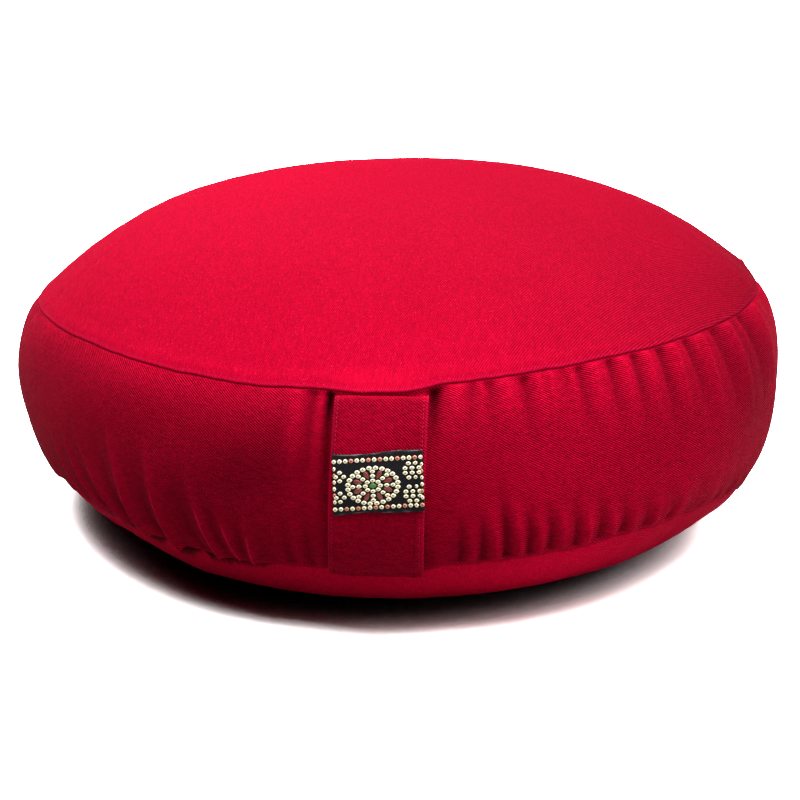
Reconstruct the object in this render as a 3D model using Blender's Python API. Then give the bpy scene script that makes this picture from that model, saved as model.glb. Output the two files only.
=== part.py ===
"""Round stuffed floor cushion with a handle strap and a trim band.

Metres, +Z up. The origin lies on the floor under the middle of the cushion, and the strap faces -Y.
Azimuth is 0 at the strap and grows towards +X. A station counts along the skin: 0 to 1 from the middle
of the top panel to the upper seam, 1 to 2 down the side panel to the lower seam, and 2 to 3 along the
base panel to the edge of the flat that rests on the floor.
"""

import bpy
import numpy as np

MM = 0.001

# The filled form.
HEIGHT = 151 * MM
CROWN_POWER = 3.14
SEAM_MEANS = {"upper": (152.1 * MM, 101.3 * MM), "lower": (156.1 * MM, 28.5 * MM)}
REST_RADIUS = 94.5 * MM

# Handles of the two curves that carry the side and base panels: length, and degrees above the horizontal.
# The base's top handle is a share of the lower seam's height, so the base never dips below the floor.
SIDE_TOP_HANDLE = (24.4 * MM, -48.3)
SIDE_FOOT_HANDLE = (19.8 * MM, 50.5)
BASE_FOOT_HANDLE = (30.2 * MM, 0.0)
BASE_TOP_HANDLE_ANGLE = 180.0 + 57.5
BASE_TOP_HANDLE_SHARE = 0.775

# How unevenly each seam runs round the cushion.
# Columns: waves per turn, height sine, height cosine, radius sine, radius cosine, in millimetres.
SEAM_WAVES = {
    "upper": (
        (1, 7.6, -1.5, -2.3, -3.5),
        (2, -3.6, -1.0, 1.8, -6.3),
        (3, 2.5, -2.0, 0.0, 0.0),
    ),
    "lower": (
        (1, 9.4, 1.5, -2.1, -1.6),
        (2, -8.6, 5.1, 4.6, -0.7),
        (3, 5.3, -5.3, 0.0, 0.0),
    ),
}
BACK_CALM = {"upper": 0.1, "lower": 0.8}
BACK_CALM_FROM = 0.35

# The seams draw the skin in along a soft channel.
SEAM_CHANNEL_DEPTH = 1.8 * MM
SEAM_CHANNEL_HALF_WIDTH = 2.6 * MM
PANEL_LENGTH_AT_SEAM = {"crown": 150 * MM, "side": 66 * MM, "base": 66 * MM}

# Puckers of the side panel where it is gathered into the seams.
# Columns: azimuth at the seam and at the far end in degrees, reach down the side panel, half width and
# height in millimetres. A negative height is a trough.
UPPER_PUCKERS = (
    (-16.0, -15.0, 0.30, 6.0, 0.5),
    (-9.5, -10.0, 0.50, 4.5, -1.3),
    (9.5, 7.5, 0.40, 4.5, -1.6),
    (13.0, 11.5, 0.40, 5.0, 0.8),
    (17.0, 17.5, 0.35, 5.0, -1.0),
    (23.8, 25.5, 0.45, 6.0, 1.2),
    (31.0, 33.0, 0.50, 4.5, -1.4),
    (34.8, 36.5, 0.45, 4.5, 0.9),
    (40.0, 42.0, 0.45, 4.5, -1.4),
    (44.0, 46.0, 0.35, 4.5, 0.9),
    (47.5, 50.0, 0.50, 4.5, -1.4),
    (51.0, 54.0, 0.60, 5.0, 1.5),
    (56.0, 59.0, 0.55, 4.5, -1.4),
    (60.5, 64.0, 0.60, 5.0, 1.6),
    (66.0, 69.0, 0.65, 5.0, -1.5),
    (72.0, 74.0, 0.80, 5.5, 1.0),
    (79.0, 80.0, 0.85, 5.5, -1.3),
    (86.0, 87.0, 0.80, 6.0, 0.7),
    (-84.0, -83.0, 0.75, 6.0, 0.7),
    (-76.0, -75.0, 0.60, 6.0, -0.8),
)
LOWER_PUCKERS = (
    (-60.0, -58.0, 0.75, 4.5, 1.1),
    (-54.0, -55.5, 0.70, 4.5, -1.7),
    (-48.0, -52.0, 0.65, 4.5, 1.3),
    (-42.5, -43.5, 0.65, 4.5, 1.9),
    (-38.0, -40.0, 0.60, 5.0, -2.2),
    (-31.5, -35.5, 0.60, 4.5, 1.8),
    (-27.5, -30.5, 0.55, 5.0, -1.8),
    (-22.5, -25.5, 0.50, 4.5, 1.6),
    (-17.5, -19.0, 0.40, 5.0, -0.9),
    (11.0, 10.5, 0.35, 4.5, -1.0),
    (14.2, 14.0, 0.35, 4.5, 0.8),
    (17.3, 17.3, 0.45, 4.5, -1.6),
    (20.8, 20.8, 0.45, 4.5, 1.1),
    (24.0, 24.5, 0.50, 4.5, -1.4),
    (27.4, 29.5, 0.45, 4.5, -1.7),
    (30.6, 32.0, 0.55, 4.5, 1.4),
    (34.4, 36.0, 0.50, 4.5, -1.3),
    (38.2, 40.5, 0.50, 4.5, 1.2),
    (42.0, 44.5, 0.45, 5.0, -1.1),
    (49.0, 51.0, 0.40, 6.0, 0.7),
)

# The share of the side panel over which a pucker rises from its seam.
PUCKER_START = 0.04

# Round the back the gathers follow a rule: one every few degrees, turn and turn about.
BACK_PUCKER_FROM = 93.0
BACK_PUCKER_TO = 266.0
BACK_PUCKER_PITCH = 6.4
BACK_PUCKER_HEIGHT = 1.1
BACK_PUCKER_REACH = 0.5
BACK_PUCKER_HALF_WIDTH = 5.0
BACK_PUCKER_LEAN = 2.0
BACK_PUCKER_STRAY = 0.6
BACK_PUCKER_SPREAD = 0.4
GOLDEN_PART = 0.618

# Rings and segments of the mesh.
SEGMENTS = 180
CROWN_STATIONS = (0.25, 0.45, 0.62, 0.76, 0.87, 0.94, 0.975)
SIDE_STATIONS = (0.0, 0.03, 0.08, 0.15, 0.23, 0.32, 0.42, 0.52, 0.62, 0.71, 0.79, 0.86, 0.92, 0.97)
BASE_STATIONS = (0.0, 0.035, 0.1, 0.25, 0.5, 0.75, 1.0)
REST_RING = 0.55
LAST_STATION = 3.0
NORMAL_STEP = 0.01

# The handle strap: its width, its thickness, how it stands off the side panel, and where it starts and ends.
STRAP_WIDTH = 34.5 * MM
STRAP_THICKNESS = 1.8 * MM
STRAP_SEAT_GAP = 0.4 * MM
STRAP_STAND_OFF = 1.7 * MM
STRAP_CROSS_RADIUS = 320 * MM
STRAP_FROM = 1.03
STRAP_TO = 2.04
STRAP_COLUMNS = 10
STRAP_ROWS = 34

# The trim band sewn across the strap: its middle is a station, and it is turned and set aside a little.
BAND_WIDTH = 32.6 * MM
BAND_HEIGHT = 21.2 * MM
BAND_THICKNESS = 1.0 * MM
BAND_GAP = 0.3 * MM
BAND_MIDDLE = 1.446
BAND_TURN = 4.2
BAND_ASIDE = 0.4 * MM
BAND_COLUMNS = 10
BAND_ROWS = 8

# Colour, roughness and metallic value of each piece.
FINISHES = {
    "cushion": ((0.55, 0.008, 0.045, 1.0), 0.85, 0.0),
    "handle_strap": ((0.42, 0.005, 0.035, 1.0), 0.8, 0.0),
    "trim_band": ((0.02, 0.018, 0.022, 1.0), 0.7, 0.0),
}


def turn_handle(handle):
    """Step of a curve handle in the radius and height plane."""
    length, degrees = handle
    angle = np.radians(degrees)
    return np.stack([length * np.cos(angle), length * np.sin(angle)], axis=-1)


def bezier(start, start_handle, end_handle, end, part):
    """Cubic curve in the radius and height plane, where part runs from 0 to 1."""
    first = start + turn_handle(start_handle)
    second = end + turn_handle(end_handle)
    part = part[..., None]
    rest = 1.0 - part
    return rest**3 * start + 3 * rest**2 * part * first + 3 * rest * part**2 * second + part**3 * end


def seam_ring(seam, azimuth):
    """Radius and height of a seam: its mean plus slow waves, which grow calmer round the back."""
    behind = np.clip((BACK_CALM_FROM - np.cos(azimuth)) / (BACK_CALM_FROM + 1.0), 0.0, 1.0)
    calm = 1.0 - BACK_CALM[seam] * behind**2 * (3.0 - 2.0 * behind)
    radius, height = (np.full(azimuth.shape, mean) for mean in SEAM_MEANS[seam])
    for order, height_sine, height_cosine, radius_sine, radius_cosine in SEAM_WAVES[seam]:
        sine = np.sin(order * azimuth) * calm * MM
        cosine = np.cos(order * azimuth) * calm * MM
        height = height + height_sine * sine + height_cosine * cosine
        radius = radius + radius_sine * sine + radius_cosine * cosine
    return np.stack([radius, height], axis=-1)


def smooth_skin(azimuth, station):
    """Radius and height of the skin before seams and puckers are drawn in."""
    upper = seam_ring("upper", azimuth)
    lower = seam_ring("lower", azimuth)
    rest = np.array([REST_RADIUS, 0.0])
    out = np.clip(station, 0.0, 1.0)
    crown_height = upper[..., 1] + (HEIGHT - upper[..., 1]) * (1.0 - out**CROWN_POWER)
    crown = np.stack([upper[..., 0] * out, crown_height], axis=-1)
    side = bezier(upper, SIDE_TOP_HANDLE, SIDE_FOOT_HANDLE, lower, station - 1.0)
    base_top_handle = (BASE_TOP_HANDLE_SHARE * lower[..., 1], BASE_TOP_HANDLE_ANGLE)
    base = bezier(lower, base_top_handle, BASE_FOOT_HANDLE, rest, station - 2.0)
    on_crown = (station < 1.0)[..., None]
    on_side = (station < 2.0)[..., None]
    return np.where(on_crown, crown, np.where(on_side, side, base))


def outward(azimuth, station):
    """Unit normal of the smooth skin in the radius and height plane."""
    before = smooth_skin(azimuth, np.maximum(station - NORMAL_STEP, 0.0))
    after = smooth_skin(azimuth, np.minimum(station + NORMAL_STEP, LAST_STATION))
    along = after - before
    normal = np.stack([-along[..., 1], along[..., 0]], axis=-1)
    return normal / np.linalg.norm(normal, axis=-1, keepdims=True)


def seam_distances(station):
    """Distances along the skin from the upper and the lower seam."""
    crown = np.maximum(1.0 - station, 0.0) * PANEL_LENGTH_AT_SEAM["crown"]
    side_down = np.maximum(station - 1.0, 0.0) * PANEL_LENGTH_AT_SEAM["side"]
    side_up = np.maximum(2.0 - station, 0.0) * PANEL_LENGTH_AT_SEAM["side"]
    base = np.maximum(station - 2.0, 0.0) * PANEL_LENGTH_AT_SEAM["base"]
    return crown + side_down, side_up + base


def back_puckers():
    """Rows like those of the pucker tables, for the side of the cushion away from the strap."""
    rows = []
    count = int((BACK_PUCKER_TO - BACK_PUCKER_FROM) / BACK_PUCKER_PITCH)
    for index in range(count):
        share = (index * GOLDEN_PART) % 1.0
        spread = BACK_PUCKER_SPREAD * (2.0 * share - 1.0)
        azimuth = BACK_PUCKER_FROM + BACK_PUCKER_PITCH * (index + BACK_PUCKER_STRAY * share)
        azimuth = (azimuth + 180.0) % 360.0 - 180.0
        far_end = azimuth + BACK_PUCKER_LEAN * (share - 0.5)
        reach = BACK_PUCKER_REACH * (1.0 - spread)
        height = BACK_PUCKER_HEIGHT * (1.0 + spread) * (1.0 if index % 2 else -1.0)
        rows.append((azimuth, far_end, reach, BACK_PUCKER_HALF_WIDTH, height))
    return tuple(rows)


def puckers(rows, azimuth, from_seam):
    """Height of the gathers: ridges and troughs that fade with the distance from their seam."""
    relief = np.zeros(azimuth.shape)
    for start, end, reach, half_width, height in rows:
        along = np.clip(from_seam / reach, 0.0, 1.0)
        middle = np.radians(start + (end - start) * along)
        across = np.angle(np.exp(1j * (azimuth - middle))) * SEAM_MEANS["upper"][0]
        fade = (1.0 - along**2) ** 2 * np.clip(from_seam / PUCKER_START, 0.0, 1.0)
        relief += height * MM * fade * np.exp(-((across / (half_width * MM)) ** 2))
    return relief


def skin(azimuth, station):
    """Radius and height of the finished skin, with its seam channels and its puckers."""
    azimuth, station = np.broadcast_arrays(azimuth, station)
    from_upper, from_lower = seam_distances(station)
    channel = np.exp(-((from_upper / SEAM_CHANNEL_HALF_WIDTH) ** 2))
    channel += np.exp(-((from_lower / SEAM_CHANNEL_HALF_WIDTH) ** 2))
    relief = -SEAM_CHANNEL_DEPTH * channel
    on_side = (station >= 1.0) & (station <= 2.0)
    gathers = puckers(UPPER_PUCKERS, azimuth, station - 1.0)
    gathers += puckers(LOWER_PUCKERS, azimuth, 2.0 - station)
    gathers += puckers(back_puckers(), azimuth, station - 1.0)
    gathers += puckers(back_puckers(), -azimuth, 2.0 - station)
    relief += np.where(on_side, gathers, 0.0)
    return smooth_skin(azimuth, station) + outward(azimuth, station) * relief[..., None]


def make_object(name, points, faces):
    """Link a named object with its own material."""
    mesh = bpy.data.meshes.new(name)
    mesh.from_pydata([tuple(point) for point in points], [], faces)
    mesh.validate()
    mesh.shade_smooth()
    colour, roughness, metallic = FINISHES[name]
    material = bpy.data.materials.new(name)
    material.use_nodes = True
    shader = material.node_tree.nodes["Principled BSDF"]
    shader.inputs["Base Color"].default_value = colour
    shader.inputs["Roughness"].default_value = roughness
    shader.inputs["Metallic"].default_value = metallic
    mesh.materials.append(material)
    made = bpy.data.objects.new(name, mesh)
    bpy.context.scene.collection.objects.link(made)
    return made


def make_cushion():
    """The filled body: rings of points from the middle of the top to the middle of the resting flat."""
    stations = np.array(
        CROWN_STATIONS
        + tuple(1.0 + part for part in SIDE_STATIONS)
        + tuple(2.0 + part for part in BASE_STATIONS)
    )
    azimuth = np.linspace(0.0, 2.0 * np.pi, SEGMENTS, endpoint=False)
    section = skin(azimuth[None, :], stations[:, None])
    flat = np.zeros((1, SEGMENTS, 2))
    flat[..., 0] = REST_RADIUS * REST_RING
    section = np.concatenate([section, flat])
    radius, height = section[..., 0], section[..., 1]
    rings = np.stack([radius * np.sin(azimuth), -radius * np.cos(azimuth), height], axis=-1)
    points = [(0.0, 0.0, HEIGHT)] + rings.reshape(-1, 3).tolist() + [(0.0, 0.0, 0.0)]
    last = len(points) - 1
    faces = []
    for index in range(SEGMENTS):
        beside = (index + 1) % SEGMENTS
        faces.append((0, 1 + index, 1 + beside))
        for ring in range(len(rings) - 1):
            upper, lower = 1 + ring * SEGMENTS, 1 + (ring + 1) * SEGMENTS
            faces.append((upper + index, lower + index, lower + beside, upper + beside))
        foot = 1 + (len(rings) - 1) * SEGMENTS
        faces.append((foot + index, last, foot + beside))
    return make_object("cushion", points, faces)


def strap_point(across, station, lift):
    """A place over the strap's seat: straight across its width and bowed off the side panel."""
    front = np.zeros(station.shape)
    place = smooth_skin(front, station)
    normal = outward(front, station)
    along = (station - STRAP_FROM) / (STRAP_TO - STRAP_FROM)
    bow = STRAP_SEAT_GAP + STRAP_STAND_OFF * np.sin(np.pi * np.clip(along, 0.0, 1.0))
    off = bow + lift - across**2 / (2.0 * STRAP_CROSS_RADIUS)
    place = place + normal * off[..., None]
    return np.stack([across, -place[..., 0], place[..., 1]], axis=-1)


def make_sheet(name, grid, thickness):
    """A sheet over a grid of points, given its thickness on its outer side."""
    rows, columns = grid.shape[:2]
    faces = []
    for row in range(rows - 1):
        for column in range(columns - 1):
            corner = row * columns + column
            faces.append((corner, corner + columns, corner + columns + 1, corner + 1))
    sheet = make_object(name, grid.reshape(-1, 3), faces)
    shell = sheet.modifiers.new("thickness", "SOLIDIFY")
    shell.thickness = thickness
    shell.offset = 1.0
    shell.use_even_offset = True
    return sheet


def make_strap():
    """The handle strap, from just under the upper seam to just past the lower one."""
    across = np.linspace(-STRAP_WIDTH / 2, STRAP_WIDTH / 2, STRAP_COLUMNS)
    station = np.linspace(STRAP_FROM, STRAP_TO, STRAP_ROWS)
    across, station = np.meshgrid(across, station)
    return make_sheet("handle_strap", strap_point(across, station, np.zeros(across.shape)), STRAP_THICKNESS)


def make_band():
    """The trim band: a turned rectangle laid over the strap's outer face."""
    across = np.linspace(-BAND_WIDTH / 2, BAND_WIDTH / 2, BAND_COLUMNS)
    up = np.linspace(BAND_HEIGHT / 2, -BAND_HEIGHT / 2, BAND_ROWS)
    across, up = np.meshgrid(across, up)
    turn = np.radians(BAND_TURN)
    over = BAND_ASIDE + across * np.cos(turn) - up * np.sin(turn)
    raised = across * np.sin(turn) + up * np.cos(turn)
    middle = np.array([BAND_MIDDLE - NORMAL_STEP, BAND_MIDDLE + NORMAL_STEP])
    ends = strap_point(np.zeros(2), middle, np.zeros(2))
    station_length = np.linalg.norm(ends[1] - ends[0]) / (middle[1] - middle[0])
    station = BAND_MIDDLE - raised / station_length
    lift = np.full(across.shape, STRAP_THICKNESS + BAND_GAP)
    return make_sheet("trim_band", strap_point(over, station, lift), BAND_THICKNESS)


def main():
    for existing in list(bpy.data.objects):
        bpy.data.objects.remove(existing, do_unlink=True)
    make_cushion()
    make_strap()
    make_band()


main()
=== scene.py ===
"""Round stuffed floor cushion: its sewn twill cover, handle strap, trim ribbon and studio.

Lengths are metres unless a name or a column says millimetres. Azimuth is 0 at the strap, on the -Y
side, and grows towards +X. A station counts along the cover: 0 to 1 from the middle of the top panel
to the upper seam, 1 to 2 down the side panel, and 2 to 3 along the base to the edge of the resting flat.
"""

from functools import partialmethod

import bpy
import numpy as np
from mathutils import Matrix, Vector


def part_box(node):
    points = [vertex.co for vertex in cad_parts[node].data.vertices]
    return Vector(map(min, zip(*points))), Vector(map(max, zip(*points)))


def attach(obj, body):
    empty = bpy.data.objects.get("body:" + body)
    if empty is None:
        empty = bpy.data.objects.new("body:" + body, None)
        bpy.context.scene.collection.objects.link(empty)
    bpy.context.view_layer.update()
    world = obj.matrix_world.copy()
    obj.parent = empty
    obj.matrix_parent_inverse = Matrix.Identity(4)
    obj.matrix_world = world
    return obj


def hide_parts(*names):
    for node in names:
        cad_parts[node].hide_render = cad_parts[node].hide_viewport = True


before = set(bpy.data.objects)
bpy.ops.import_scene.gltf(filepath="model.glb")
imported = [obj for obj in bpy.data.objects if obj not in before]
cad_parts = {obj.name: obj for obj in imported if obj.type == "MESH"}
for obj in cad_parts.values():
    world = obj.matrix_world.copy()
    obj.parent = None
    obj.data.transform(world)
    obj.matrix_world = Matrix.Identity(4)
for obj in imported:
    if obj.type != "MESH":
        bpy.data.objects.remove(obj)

bl_info = {
    "name": "Round Stuffed Cushion",
    "version": (1, 0, 0),
    "blender": (4, 5, 0),
    "location": "View3D > Sidebar > Cushion",
    "description": "Builds a round stuffed cushion with a twill cover, a handle strap and a trim ribbon",
    "category": "Add Mesh",
}

MM = 0.001
TAU = 2.0 * np.pi
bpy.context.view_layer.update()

# The filled form, as the solids have it: mean radius and height of each seam.
SEAM_MEANS = {"upper": (152.1 * MM, 101.3 * MM), "lower": (156.1 * MM, 28.5 * MM)}
REST_RADIUS = 94.5 * MM
CROWN_POWER = 3.14

# Handles of the curves that carry the side and base panels: length, and degrees above the horizontal.
SIDE_TOP_HANDLE = (24.4 * MM, -48.3)
SIDE_FOOT_HANDLE = (19.8 * MM, 50.5)
BASE_FOOT_HANDLE = (30.2 * MM, 0.0)
BASE_TOP_HANDLE_ANGLE = 180.0 + 57.5
BASE_TOP_HANDLE_SHARE = 0.775

# Steps by which the curves' lengths are measured, how far apart the points are that give a direction along
# the section, and the strap's section: its last station and its number of points.
CURVE_POINTS = 200
STATION_STEP = 0.01
FRONT_END = 2.3
FRONT_POINTS = 1301

# How unevenly each seam runs round the cushion.
# Columns: waves per turn, height sine, height cosine, radius sine, radius cosine, in millimetres.
SEAM_WAVES = {
    "upper": (
        (1, 7.6, -1.5, -2.3, -3.5),
        (2, -3.6, -1.0, 1.8, -6.3),
        (3, 2.5, -2.0, 0.0, 0.0),
    ),
    "lower": (
        (1, 9.4, 1.5, -2.1, -1.6),
        (2, -8.6, 5.1, 4.6, -0.7),
        (3, 5.3, -5.3, 0.0, 0.0),
    ),
}
BACK_CALM = {"upper": 0.1, "lower": 0.8}
BACK_CALM_FROM = 0.35

# Short kinks of a seam. Columns: azimuth and spread in degrees, height and radius in millimetres.
# Then the finer wander of the stitched lines and each seam's share of it. Columns: waves per turn, size
# in millimetres, phase.
SEAM_KINKS = {"upper": (), "lower": ((74.0, 5.5, 1.6, 1.6), (-31.0, 11.0, -2.4, 0.3))}
WANDER_SHARE = {"upper": 0.45, "lower": 1.0}
SEAM_WANDER = ((17, 0.30, 0.4), (29, 0.22, 2.1), (47, 0.16, 4.0), (73, 0.12, 1.2), (109, 0.08, 5.1))

# Puckers of the side panel where it is gathered into the seams.
# Columns: azimuth at the seam and at the far end in degrees, reach down the side panel, half width and
# height in millimetres, and how crisp the fold is. A negative height is a trough.
UPPER_PUCKERS = (
    (-16, -15, 0.3, 6, 0.5, 0), (-12.6, -12, 0.75, 3, 0.7, 0.3), (-9.8, -9.8, 0.7, 2.6, -1.4, 0.3),
    (-7.2, -6.6, 1, 1.9, -2.4, 0.4), (8.2, 6.6, 0.45, 3.2, -2.9, 0.5), (11.6, 9.6, 0.42, 3.4, 1.2, 0.3),
    (13.6, 12.6, 0.34, 2, -0.7, 0.3), (16, 15, 0.4, 2.2, -1, 0.3), (18.4, 17.8, 0.38, 2.6, 0.7, 0.3),
    (21, 21, 0.46, 2.6, -1.3, 0.3), (23.2, 23, 0.34, 1.8, 0.6, 0.3), (25, 24.6, 0.36, 2.2, 0.8, 0.3),
    (27.4, 26.8, 0.32, 2.2, -0.7, 0.2), (29.8, 29, 0.44, 2.2, -1.2, 0.3), (32.2, 31.2, 0.4, 2.4, 1, 0.3),
    (35, 33.6, 0.48, 2.2, -1.3, 0.4), (37.2, 35.8, 0.4, 2, 1, 0.4), (39.3, 37.8, 0.46, 2, -1.3, 0.4),
    (41.6, 40.2, 0.4, 2.2, 1, 0.4), (44.2, 42.6, 0.52, 2.2, -1.4, 0.4), (46.9, 45.8, 0.48, 2.4, 1.4, 0.5),
    (50, 49.6, 0.5, 2.6, -1.4, 0.4), (53.4, 53.2, 0.56, 2.6, 1.5, 0.5), (57, 57.4, 0.54, 3, -1.3, 0.3),
    (61, 62, 0.58, 3.4, 1.3, 0.4), (66, 68, 0.62, 4.2, -1.3, 0.3), (72, 74, 0.8, 5, 0.9, 0.3),
    (79, 80, 0.85, 5, -1, 0.2), (86, 87, 0.8, 5.5, 0.6, 0.2), (-84, -83, 0.75, 6, 0.5, 0.2),
    (-76, -75, 0.6, 6, -0.6, 0.2), (-64, -63, 0.35, 7, 0.4, 0),
)
LOWER_PUCKERS = (
    (-66, -70, 0.6, 3.2, 0.7, 0.8), (-59, -65, 0.6, 2.8, 1, 0.9), (-53.6, -58.4, 0.56, 2.6, 1.2, 1),
    (-49.2, -54.6, 0.56, 2.6, 1.6, 1), (-45.6, -52.8, 0.5, 2, -0.7, 0.3),
    (-43.4, -51.4, 0.62, 2.6, 1.6, 1), (-40.6, -45.8, 0.66, 2.8, -1.3, 0.2),
    (-38, -43.2, 0.74, 3.6, 2.3, 1), (-34, -38, 0.62, 3.2, -1.4, 0.2), (-31.4, -35.6, 0.7, 3.8, 2.4, 1),
    (-26.8, -30.6, 0.56, 3.2, -1.3, 0.2), (-24, -28, 0.6, 3.6, 2.1, 1),
    (-22.2, -25.6, 0.46, 2.4, -0.9, 0.2), (-20.3, -23.8, 0.46, 2.8, 1.4, 1),
    (-19.3, -20.2, 0.36, 1.8, -0.7, 0.3), (-18.2, -18.6, 0.36, 2.6, 1, 0.9),
    (-15.5, -15.8, 0.3, 3, -0.5, 0.2), (-12.6, -12.8, 0.4, 2.6, -1, 0.2),
    (-9.6, -9.8, 0.42, 2.2, -1.2, 0.2), (8.6, 8.2, 0.3, 2, 0.6, 0.3), (11.4, 10.6, 0.36, 1.6, -1.3, 0.4),
    (12.9, 12, 0.34, 1.5, 0.6, 0.3), (14.4, 13.2, 0.4, 1.6, -1.4, 0.4), (16.1, 14.6, 0.42, 1.7, 0.9, 0.3),
    (17.6, 15.8, 0.54, 2, -2.1, 0.5), (19.4, 17.6, 0.46, 1.9, 1.1, 0.3), (21, 19.2, 0.4, 1.7, -1.5, 0.4),
    (22.6, 20.8, 0.38, 1.6, 1, 0.3), (24, 22.2, 0.4, 1.7, -1.4, 0.4), (25.9, 24.1, 0.38, 1.8, 1, 0.4),
    (27.8, 26, 0.38, 1.7, -1.3, 0.4), (29.7, 27.8, 0.38, 1.8, 1, 0.4), (31.6, 29.6, 0.4, 1.8, -1.2, 0.4),
    (33.6, 31.6, 0.36, 1.8, 0.8, 0.4), (35.5, 33.6, 0.32, 1.8, -0.8, 0.3),
    (37.5, 35.6, 0.3, 1.9, 0.6, 0.4), (39.6, 37.6, 0.32, 2, -0.6, 0.3), (41.8, 39.8, 0.3, 2, 0.6, 0.5),
    (44.4, 42.4, 0.3, 2.2, -0.6, 0.3), (47.2, 45.2, 0.3, 2.4, 0.6, 0.4),
    (50.5, 48.6, 0.3, 2.4, -0.4, 0.2), (54.5, 53, 0.36, 2.8, 0.6, 0.4), (60, 59, 0.4, 3.4, -0.5, 0.2),
)
# Folds fall over steeply on the flank that faces away from the front. They rise within a short start, widen
# towards their far end, and a crisp one has a crest: how fast it falls off, and how round its top is.
FOLD_LEAN = 0.72
FOLD_LEAN_TURN = 22.0
PUCKER_START = 2.3 * MM
PUCKER_WIDENING = 0.35
CREST_FALL = 1.5
CREST_ROUND = 0.012
CREST_TOP = 0.11

# The painted highlight line along a sharp crest: how crisp a fold must be, how far its distance is kept, the
# line's half width in millimetres, the share of the fold's reach that it runs along, how fast it ends there,
# and the fold height in millimetres that gives it in full.
CREST_HIGHLIGHT_FROM = 0.75
CREST_HIGHLIGHT_REACH = 2.0 * MM
CREST_HIGHLIGHT_HALF_WIDTH = 0.26
CREST_HIGHLIGHT_SHARE = 0.56
CREST_HIGHLIGHT_END = 5.0
CREST_HIGHLIGHT_FULL_HEIGHT = 1.6

# The lobes between folds droop over the lower seam: share of a fold's height, what the overhang adds to
# it, and how near the seam. Then how far their contact shade reaches down the base in millimetres: least,
# what the full overhang adds, and what it adds for each millimetre of a lobe's height. Then the turns in
# degrees over which the highest lobe counts, and the distance above the seam at which its height is taken.
LOBE_DROOP = 0.5
LOBE_DROOP_HANG = 1.7
LOBE_DROOP_NEAR = 3.6
SHADE_LEAST = 0.6
SHADE_HANG = 1.4
LOBE_SHADE = 2.9
LOBE_SHADE_TURNS = (-1.0, 0.0, 1.0, 2.0)
LOBE_HEIGHT_AT = 3.2 * MM

# The top panel sags over the strap's start: half width in degrees, then the sag out and down and the
# reach of each in millimetres, on the top panel and below the seam.
LIP_SPREAD = 7.0
LIP_OUT = (1.2, 4.0)
LIP_DOWN = (2.3, 5.0)
LIP_INNER_REACH = (0.8, 4.0)

# Round the back the gathers follow a rule: one every few degrees, turn and turn about.
BACK_PUCKER_FROM = 93.0
BACK_PUCKER_TO = 266.0
BACK_PUCKER_PITCH = 6.4
BACK_PUCKER_HEIGHT = 1.7
BACK_PUCKER_REACH = 0.5
BACK_PUCKER_HALF_WIDTH = 3.2
BACK_PUCKER_LEAN = 2.0
BACK_PUCKER_STRAY = 0.6
BACK_PUCKER_SPREAD = 0.4
BACK_PUCKER_CRISP = 0.6
GOLDEN_PART = 0.618

# Small gathers between the puckers, all round. Columns: seam, first and last azimuth in degrees,
# pitch in degrees, reach down the side panel, half width and height in millimetres. Then the share of a
# pitch by which each may stray, and how crisp they are.
SMALL_GATHERS = (
    ("upper", 11.0, 92.0, 2.3, 0.12, 1.3, 0.26),
    ("upper", 92.0, 268.0, 2.7, 0.13, 1.6, 0.34),
    ("upper", 268.0, 351.0, 3.4, 0.08, 1.8, 0.12),
    ("lower", 9.0, 92.0, 2.1, 0.14, 1.4, 0.36),
    ("lower", 92.0, 268.0, 2.6, 0.13, 1.6, 0.34),
    ("lower", 268.0, 350.0, 2.2, 0.15, 1.5, 0.36),
)
SMALL_STRAY = 0.7
SMALL_CRISP = 0.3

# Where the lower edge of the side panel hangs over the base, and how far: in full near one azimuth.
OVERHANG_LEAST = 0.25
OVERHANG_BACK = 0.6
OVERHANG_TURN = -36.0
OVERHANG_SPREAD = 24.0

# Slow unevenness of the loose filling. Columns: size in millimetres, waves per turn and per station, phase,
# and the waves per station and phase of the wave that crosses it.
SWELL_WAVES = (
    (0.45, 5, 3.1, 0, 4, 0.7), (0.30, 9, -5.3, 1.9, 0, np.pi / 2), (0.22, 13, 9, 0.3, 0, np.pi / 2))

# Where the base is drawn in under the cushion: azimuth and spread in degrees, and by how much.
BASE_TUCK = (-44.0, 18.0, 1.2 * MM)

# The cover beside its seams, as bells over the distance from a seam. Columns: what the bell changes, from
# where it is measured, its size, what the full overhang adds to that, the distance of its middle and its
# spread in millimetres, and its power. Above and below are from the upper seam, up the top panel and down
# the side panel. Over and under are from the lower seam, up the side panel and down the base.
# A push is along the normal, as a share of the seams' depth, and a roll is a push in millimetres. A slide is
# along the section, in millimetres. Wear pales the sewn edges, and painted shade darkens the cloth beside
# them.
SEAM_FORMS = (
    ("roll", "above", 0.35, 0, 2.6, 2.4, 2), ("push", "above", -0.10, 0, 0, 0.32, 2),
    ("push", "below", -0.10, 0, 0, 0.36, 2), ("push", "below", -0.14, 0, 0, 3, 1),
    ("push", "over", 0.20, 0, 0.7, 0.42, 2), ("push", "over", -0.16, 0, 0, 4, 1),
    ("push", "over", 0, -0.40, 0, 0.22, 2), ("push", "under", 0, -0.85, 0, 2.2, 1),
    ("push", "under", -0.12, 0, 0, 0.3, 2), ("slide", "above", 0.14, 0, 0.7, 0.6, 2),
    ("slide", "over", 0, 0.55, 0.5, 0.6, 2), ("wear", "above", 0.5, 0, 0.7, 0.6, 2),
    ("wear", "over", 1, -1, 0.7, 0.45, 2), ("groove", "above", 0.16, 0, 0, 0.28, 2),
    ("groove", "below", 0.16, 0, 0, 0.36, 2), ("groove", "over", 0, 1, 0, 0.4, 2),
)

# Painted shade in the pockets at the strap's start. Columns: azimuth and half width in degrees, middle and
# reach below the seam in millimetres, and depth of the painted shade.
POCKETS = ((-7.3, 0.55, 5.0, 7.0, 1.0), (7.9, 0.8, 4.0, 6.0, 0.7))

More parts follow.
